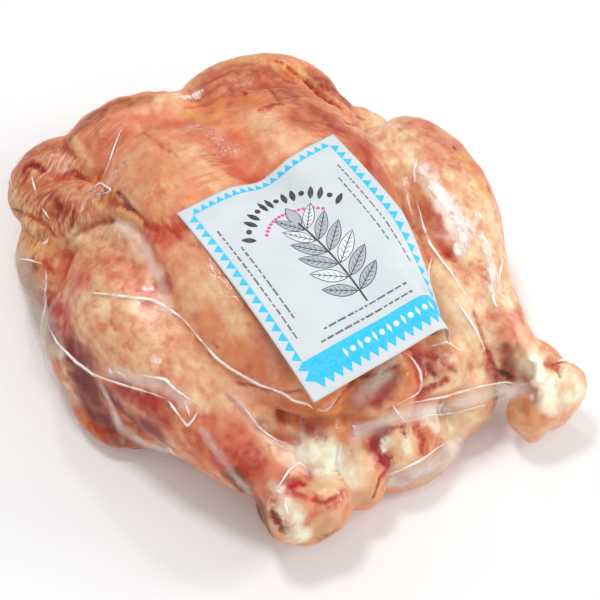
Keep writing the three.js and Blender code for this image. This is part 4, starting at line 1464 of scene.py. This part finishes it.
# %% Paper material
def paper_finish():
    """Uncoated label paper: a cool off-white with a faint linen tooth."""
    material, tree, place = new_finish("label_stock")
    tooth = noise_of(tree, place, 0.9, Detail=4.0, Roughness=0.7)
    cloud = ramped(tree, noise_of(tree, place, 18.0), 0.3, 0.7)
    base = blended(tree, cloud, opaque(tint(204, 212, 216)), opaque(tint(212, 218, 222)))
    bump = add_node(tree, "Bump", {"Height": tooth, "Strength": 0.35, "Distance": 0.12 * MM})
    look = {"Base Color": base, "Roughness": 0.55, "Normal": bump.outputs[0]}
    shader = add_node(tree, "BsdfPrincipled", look)
    finished(tree, shader.outputs[0])
    return material


label.data.materials.append(paper_finish())

# %% [markdown]
# ## The print
# The label has a border of small triangles, a band across the tail end and a sprig of leaves. Each
# shape is drawn flat, in millimetres across and down the sheet, and then laid on the sheet's formula.
# Drawing them as shapes keeps their edges sharp at any distance. Each colour of ink is one piece.

# %% Shapes of print
INK_PROUD, OVER_INK = 0.03, 0.03


def laid(outline, proud=0.0, rings=3):
    """A closed thin shape on the label: rings from its centre to its outline, and the same again
    below. The point at share r of the way out is centre plus r times outline less centre."""
    outline = np.asarray(outline, float)
    centre = outline.mean(0)
    many = len(outline)
    shares = np.arange(1, rings + 1)[:, None, None] / rings
    flat = np.vstack([[centre], (centre + shares * (outline - centre)).reshape(-1, 2)])
    point, out = label_point(flat[:, 0], flat[:, 1]), label_normal(flat[:, 0], flat[:, 1])
    top = point + out * (LABEL_THICK + INK_PROUD + proud)
    low = point + out * (LABEL_THICK - INK_PROUD)
    i = np.arange(many)
    j = (i + 1) % many
    fan = np.column_stack([0 * i, 1 + i, 1 + j])
    rows = 1 + np.arange(rings - 1)[:, None] * many
    bands = np.stack([rows + i, rows + many + i, rows + many + j, rows + j], axis=-1).reshape(-1, 4)
    edge = 1 + (rings - 1) * many
    size = len(flat)
    wall = np.column_stack([edge + i, size + edge + i, size + edge + j, edge + j])
    area = np.sum(outline[:, 0] * np.roll(outline[:, 1], -1) - outline[:, 1] * np.roll(outline[:, 0], -1))
    sides = (fan, bands, (fan + size)[:, ::-1], (bands + size)[:, ::-1], wall)
    faces = [face for side in sides for face in side.tolist()]
    if area > 0:
        faces = [face[::-1] for face in faces]
    return np.vstack([top, low]), faces


def cut_edges(corners, step=0.9):
    """An outline's straight edges cut into short steps, so that they can follow the sheet."""
    corners = np.asarray(corners, float)
    pieces = []
    for start, end in zip(corners, np.roll(corners, -1, axis=0)):
        many = max(1, round(np.linalg.norm(end - start) / step))
        pieces.append(start + (end - start) * (np.arange(many) / many)[:, None])
    return np.vstack(pieces)


# %% Border and band
FRAME_INSET, TOOTH_HEIGHT = 5.2, 3.5
TEETH_ACROSS, TEETH_DOWN = 18, 19
BAND_TOP, BAND_VALLEY, BAND_TOOTH, BAND_TEETH = 84.8, 93.7, 3.6, 16
CUTS_A_TOOTH, BAND_ROWS = 6, 12


def teeth(start, end, many, out):
    """A row of triangles between two points, their tips on the side that out points to."""
    start, end, out = (np.array(p, float) for p in (start, end, out))
    step = (end - start) / many
    return [
        laid(cut_edges([start + step * k, start + step * (k + 1), start + step * (k + 0.5) + out]))
        for k in range(many)
    ]


def band():
    """The band across the tail end: a grid between its straight top and its zigzag foot."""
    left, right = FRAME_INSET, LABEL_WIDTH - FRAME_INSET
    u = np.linspace(left, right, BAND_TEETH * CUTS_A_TOOTH + 1)
    phase = (u - left) / (right - left) * BAND_TEETH % 1
    foot = BAND_VALLEY + BAND_TOOTH * (1 - np.abs(2 * phase - 1))
    t = np.linspace(0, 1, BAND_ROWS + 1)[:, None]
    v = BAND_TOP + t * (foot - BAND_TOP)
    return thin_sheet(np.broadcast_to(u, v.shape), v, LABEL_THICK - INK_PROUD, LABEL_THICK + INK_PROUD)


near_corner, far_corner = (FRAME_INSET, FRAME_INSET), (LABEL_WIDTH - FRAME_INSET, FRAME_INSET)
blue_print = [
    *teeth(near_corner, far_corner, TEETH_ACROSS, (0, -TOOTH_HEIGHT)),
    *teeth(near_corner, (near_corner[0], BAND_VALLEY), TEETH_DOWN, (-TOOTH_HEIGHT, 0)),
    *teeth(far_corner, (far_corner[0], BAND_VALLEY), TEETH_DOWN, (TOOTH_HEIGHT, 0)),
    band(),
]

# %% [markdown]
# A sprig of leaves stands in the middle. Every leaf is one outline, long and pointed, filled white or
# grey with a black edge and a midrib. An arc of small leaves and beads goes over it, and an arc of pink
# beads lies within that.

# %% Sprig and arcs
LEAF_CUTS = 11


def heading(angle):
    """The direction of an angle on the label, one millimetre long."""
    return np.array([math.cos(angle), math.sin(angle)])


def leaf_outline(base, angle, length, width):
    """A leaf from its base along a direction: its half-width follows sin(pi t) to the power 0.8, and
    falls off by a quarter towards the tip."""
    way = heading(angle)
    across = np.array([-way[1], way[0]])
    t = np.linspace(0, 1, LEAF_CUTS + 1)
    half = width / 2 * np.sin(np.pi * t) ** 0.8 * (1 - 0.25 * t)
    spine = np.asarray(base, float) + way * (t * length)[:, None]
    return np.vstack([spine + across * half[:, None], (spine - across * half[:, None])[-2:0:-1]])


def stroke(path, width, proud=0.05):
    """A line of ink: a ribbon of one width along a path, laid as an outline in short cuts."""
    path = np.asarray(path, float)
    way = np.gradient(path, axis=0)
    way /= np.linalg.norm(way, axis=1, keepdims=True)
    across = np.column_stack([-way[:, 1], way[:, 0]]) * width / 2
    parts = []
    for k in range(len(path) - 1):
        (start, end), (start_half, end_half) = path[k:k + 2], across[k:k + 2]
        corners = [start + start_half, end + end_half, end - end_half, start - start_half]
        parts.append(laid(corners, proud=proud, rings=1))
    return parts


def disc(centre, radius, many=14):
    """A round spot."""
    a = 2 * np.pi * np.arange(many) / many
    return np.column_stack([centre[0] + radius * np.cos(a), centre[1] + radius * np.sin(a)])


SPRIG_FOOT, SPRIG_TOP = np.array([42.0, 73.0]), np.array([38.5, 31.0])
STEM_SWAY, STEM_BEND, STEM_WIDTH, STEM_TAIL = 1.6, 2.6, 0.8, np.array([0, 3])
LEAF_PAIRS, LEAF_LENGTH, LEAF_WIDTH = 6, 16.5, 7.2
LEAF_EDGE, MIDRIB_WIDTH, MIDRIB_SHARE, VEIN_WIDTH, VEIN_TURN = 0.5, 0.4, 0.92, 0.22, 0.75
ARC_CENTRE, ARC_HALF = np.array([37.5, 49.0]), np.array([26.0, 33.5])
INNER_CENTRE, INNER_HALF = np.array([37.5, 50.0]), np.array([20.0, 26.0])
UP_THE_LABEL = -math.pi / 2
black_print, grey_print, white_print, pink_print = [], [], [], []
for k in range(LEAF_PAIRS):
    share = (k + 0.35) / LEAF_PAIRS
    sway = [STEM_SWAY * math.sin(STEM_BEND * share), 0]
    base = SPRIG_FOOT + (SPRIG_TOP - SPRIG_FOOT) * share + sway
    size = 1 - 0.35 * abs(share - 0.35)
    length, width = LEAF_LENGTH * size, LEAF_WIDTH * size
    for side in (-1, 1):
        angle = UP_THE_LABEL + side * (1.08 - 0.42 * share)
        foot = base + [side * 0.5, 0]
        inner = leaf_outline(foot + heading(angle) * LEAF_EDGE, angle, length - 1.1, width - 0.8)
        black_print.append(laid(leaf_outline(foot, angle, length, width)))
        (white_print if (k + side) % 3 == 0 else grey_print).append(laid(inner, proud=OVER_INK))
        tip = foot + heading(angle) * LEAF_LENGTH * size * MIDRIB_SHARE
        black_print += stroke(foot + (tip - foot) * np.linspace(0, 1, 9)[:, None], MIDRIB_WIDTH)
        for vein in range(1, 6):
            start = foot + (tip - foot) * vein / 6.5
            reach = LEAF_WIDTH * size * 0.42 * (1 - abs(vein - 2.6) / 5)
            for turn in (-VEIN_TURN, VEIN_TURN):
                way = heading(angle + turn) * reach
                black_print += stroke(start + way * np.linspace(0, 1, 3)[:, None], VEIN_WIDTH)
stem_t = np.linspace(0, 1, 30)[:, None]
stem_sway = np.column_stack([STEM_SWAY * np.sin(STEM_BEND * stem_t), 0 * stem_t])
stem = SPRIG_FOOT + STEM_TAIL + (SPRIG_TOP - SPRIG_FOOT - STEM_TAIL) * stem_t + stem_sway
black_print += stroke(stem, STEM_WIDTH)
black_print.append(laid(leaf_outline(SPRIG_TOP + [1, 2], UP_THE_LABEL, 12.0, 6.4)))
grey_print.append(laid(leaf_outline(SPRIG_TOP + [1, 1.4], UP_THE_LABEL, 10.8, 5.5), proud=OVER_INK))
for k, angle in enumerate(np.linspace(-2.5, -0.56, 15)):
    place = ARC_CENTRE + ARC_HALF * heading(angle)
    if k % 3 == 1:
        black_print.append(laid(disc(place, 1.25)))
    else:
        black_print.append(laid(leaf_outline(place - 3.2 * heading(angle), angle, 6.4, 2.8)))
for angle in np.linspace(-2.3, -0.8, 17):
    pink_print.append(laid(disc(INNER_CENTRE + INNER_HALF * heading(angle), 0.8)))

# %% Fine rows and dots
DASH_SHORT, DASH_LONG, GAP_SHORT, GAP_LONG = 1.2, 4.2, 0.6, 1.0
LEAST_DASH, DASH_CUT = 1.0, 1.2
dice = np.random.default_rng(7)


def dashes(start, end, width):
    """A row of short strokes of uneven length, as small print looks from a step away."""
    start, end = np.array(start, float), np.array(end, float)
    length = np.linalg.norm(end - start)
    way = (end - start) / length
    at, parts = 0.0, []
    while at < length - LEAST_DASH:
        long = min(dice.uniform(DASH_SHORT, DASH_LONG), length - at)
        cuts = max(2, round(long / DASH_CUT) + 1)
        path = start + way * (at + np.linspace(0, long, cuts))[:, None]
        parts += stroke(path, width * dice.uniform(0.7, 1.0), proud=0.0)
        at += long + dice.uniform(GAP_SHORT, GAP_LONG)
    return parts


# start, end and width in millimetres
SMALL_ROWS = [
    ((8.6, 18), (8.6, 76), 0.85),
    ((12.4, 30), (12.4, 68), 0.85),
    ((69.4, 16), (69.4, 70), 0.7),
    ((65.6, 22), (65.6, 58), 0.7),
    ((20, 77.6), (60, 77.6), 0.9),
    ((16, 81.6), (62, 81.6), 0.9),
]
DOT_ROW, DOT_RADIUS = 89.6, 1.2
LOZENGE_HALF, LOZENGE_TOP, LOZENGE_FOOT = 0.8, 87.4, 91.8
grey_rows = [part for row in SMALL_ROWS for part in dashes(*row)]
for k, at in enumerate(np.linspace(22, 64, 13)):
    left, right = at - LOZENGE_HALF, at + LOZENGE_HALF
    lozenge = [(left, DOT_ROW), (at, LOZENGE_TOP), (right, DOT_ROW), (at, LOZENGE_FOOT)]
    shape = disc((at, DOT_ROW), DOT_RADIUS) if k % 2 else cut_edges(lozenge)
    white_print.append(laid(shape, proud=OVER_INK))


# %% Ink materials and pieces
def ink_finish(name, colour):
    """Matt printing ink, slightly uneven in strength."""
    material, tree, place = new_finish(name)
    patchy = ramped(tree, noise_of(tree, place, 1.6, Detail=3.0), 0.3, 0.7, 0.0, 0.07)
    base = blended(tree, patchy, opaque(colour), opaque(tint(236, 240, 244)))
    finished(tree, add_node(tree, "BsdfPrincipled", {"Base Color": base, "Roughness": 0.5}).outputs[0])
    return material


for name, parts, colour in (
    ("print_blue", blue_print, tint(0, 192, 240)),
    ("print_black", black_print, tint(30, 28, 32)),
    ("print_grey", grey_print, tint(172, 178, 186)),
    ("print_small_rows", grey_rows, tint(96, 96, 106)),
    ("print_white", white_print, tint(226, 232, 238)),
    ("print_pink", pink_print, tint(226, 64, 150)),
):
    ink = mesh_object(name, *joined(parts), smooth=False)
    ink.data.materials.append(ink_finish(name + "_ink", colour))
    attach(ink, "root")
    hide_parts("label")
    print(name, len(ink.data.polygons), "faces")

# %% [markdown]
# ## Floor and light
# A pale floor and a pale sky give soft light from everywhere. Three small lamps, above, to the right and
# beyond the bird, give the film its sharp shine, because a flat surface sends light on at the angle it
# came in. A wide, weak panel lights the near side.

# %% Floor and lamps
FLOOR_HALF, SKY_STRENGTH, BIRD_MIDDLE = 3, 0.425, Vector((0, 0, 0.04))


def floor_finish():
    """A pale matt floor."""
    material, tree, _ = new_finish("pale_floor")
    shader = add_node(tree, "BsdfPrincipled", {"Base Color": (0.93, 0.93, 0.93, 1), "Roughness": 0.9})
    finished(tree, shader.outputs[0])
    return material


floor_mesh = bpy.data.meshes.new("floor")
floor_corners = [(x * FLOOR_HALF, y * FLOOR_HALF, 0) for x, y in ((-1, -1), (1, -1), (1, 1), (-1, 1))]
floor_mesh.from_pydata(floor_corners, [], [(0, 1, 2, 3)])
floor = bpy.data.objects.new("floor", floor_mesh)
bpy.context.scene.collection.objects.link(floor)
floor.data.materials.append(floor_finish())

world = bpy.data.worlds.new("studio")
world.use_nodes = True
sky = world.node_tree.nodes["Background"]
sky.inputs["Color"].default_value = (1, 1, 1, 1)
sky.inputs["Strength"].default_value = SKY_STRENGTH
bpy.context.scene.world = world
bpy.context.scene.view_settings.view_transform = "Standard"


def lamp(name, place, size, power):
    """A square lamp that looks at the bird's middle, its place in metres."""
    data = bpy.data.lights.new(name, "AREA")
    data.size, data.energy = size, power
    made = bpy.data.objects.new(name, data)
    made.location = place
    made.rotation_mode = "QUATERNION"
    made.rotation_quaternion = (BIRD_MIDDLE - Vector(place)).to_track_quat("-Z", "Y")
    bpy.context.scene.collection.objects.link(made)


lamp("top_lamp", (-0.12, 0.24, 1.0), 0.18, 3.4)
lamp("right_lamp", (0.80, -0.30, 0.50), 0.30, 3.0)
lamp("back_lamp", (0.10, 0.66, 0.80), 0.07, 1.2)
lamp("near_panel", (0.10, -1.05, 0.95), 2.0, 9.0)
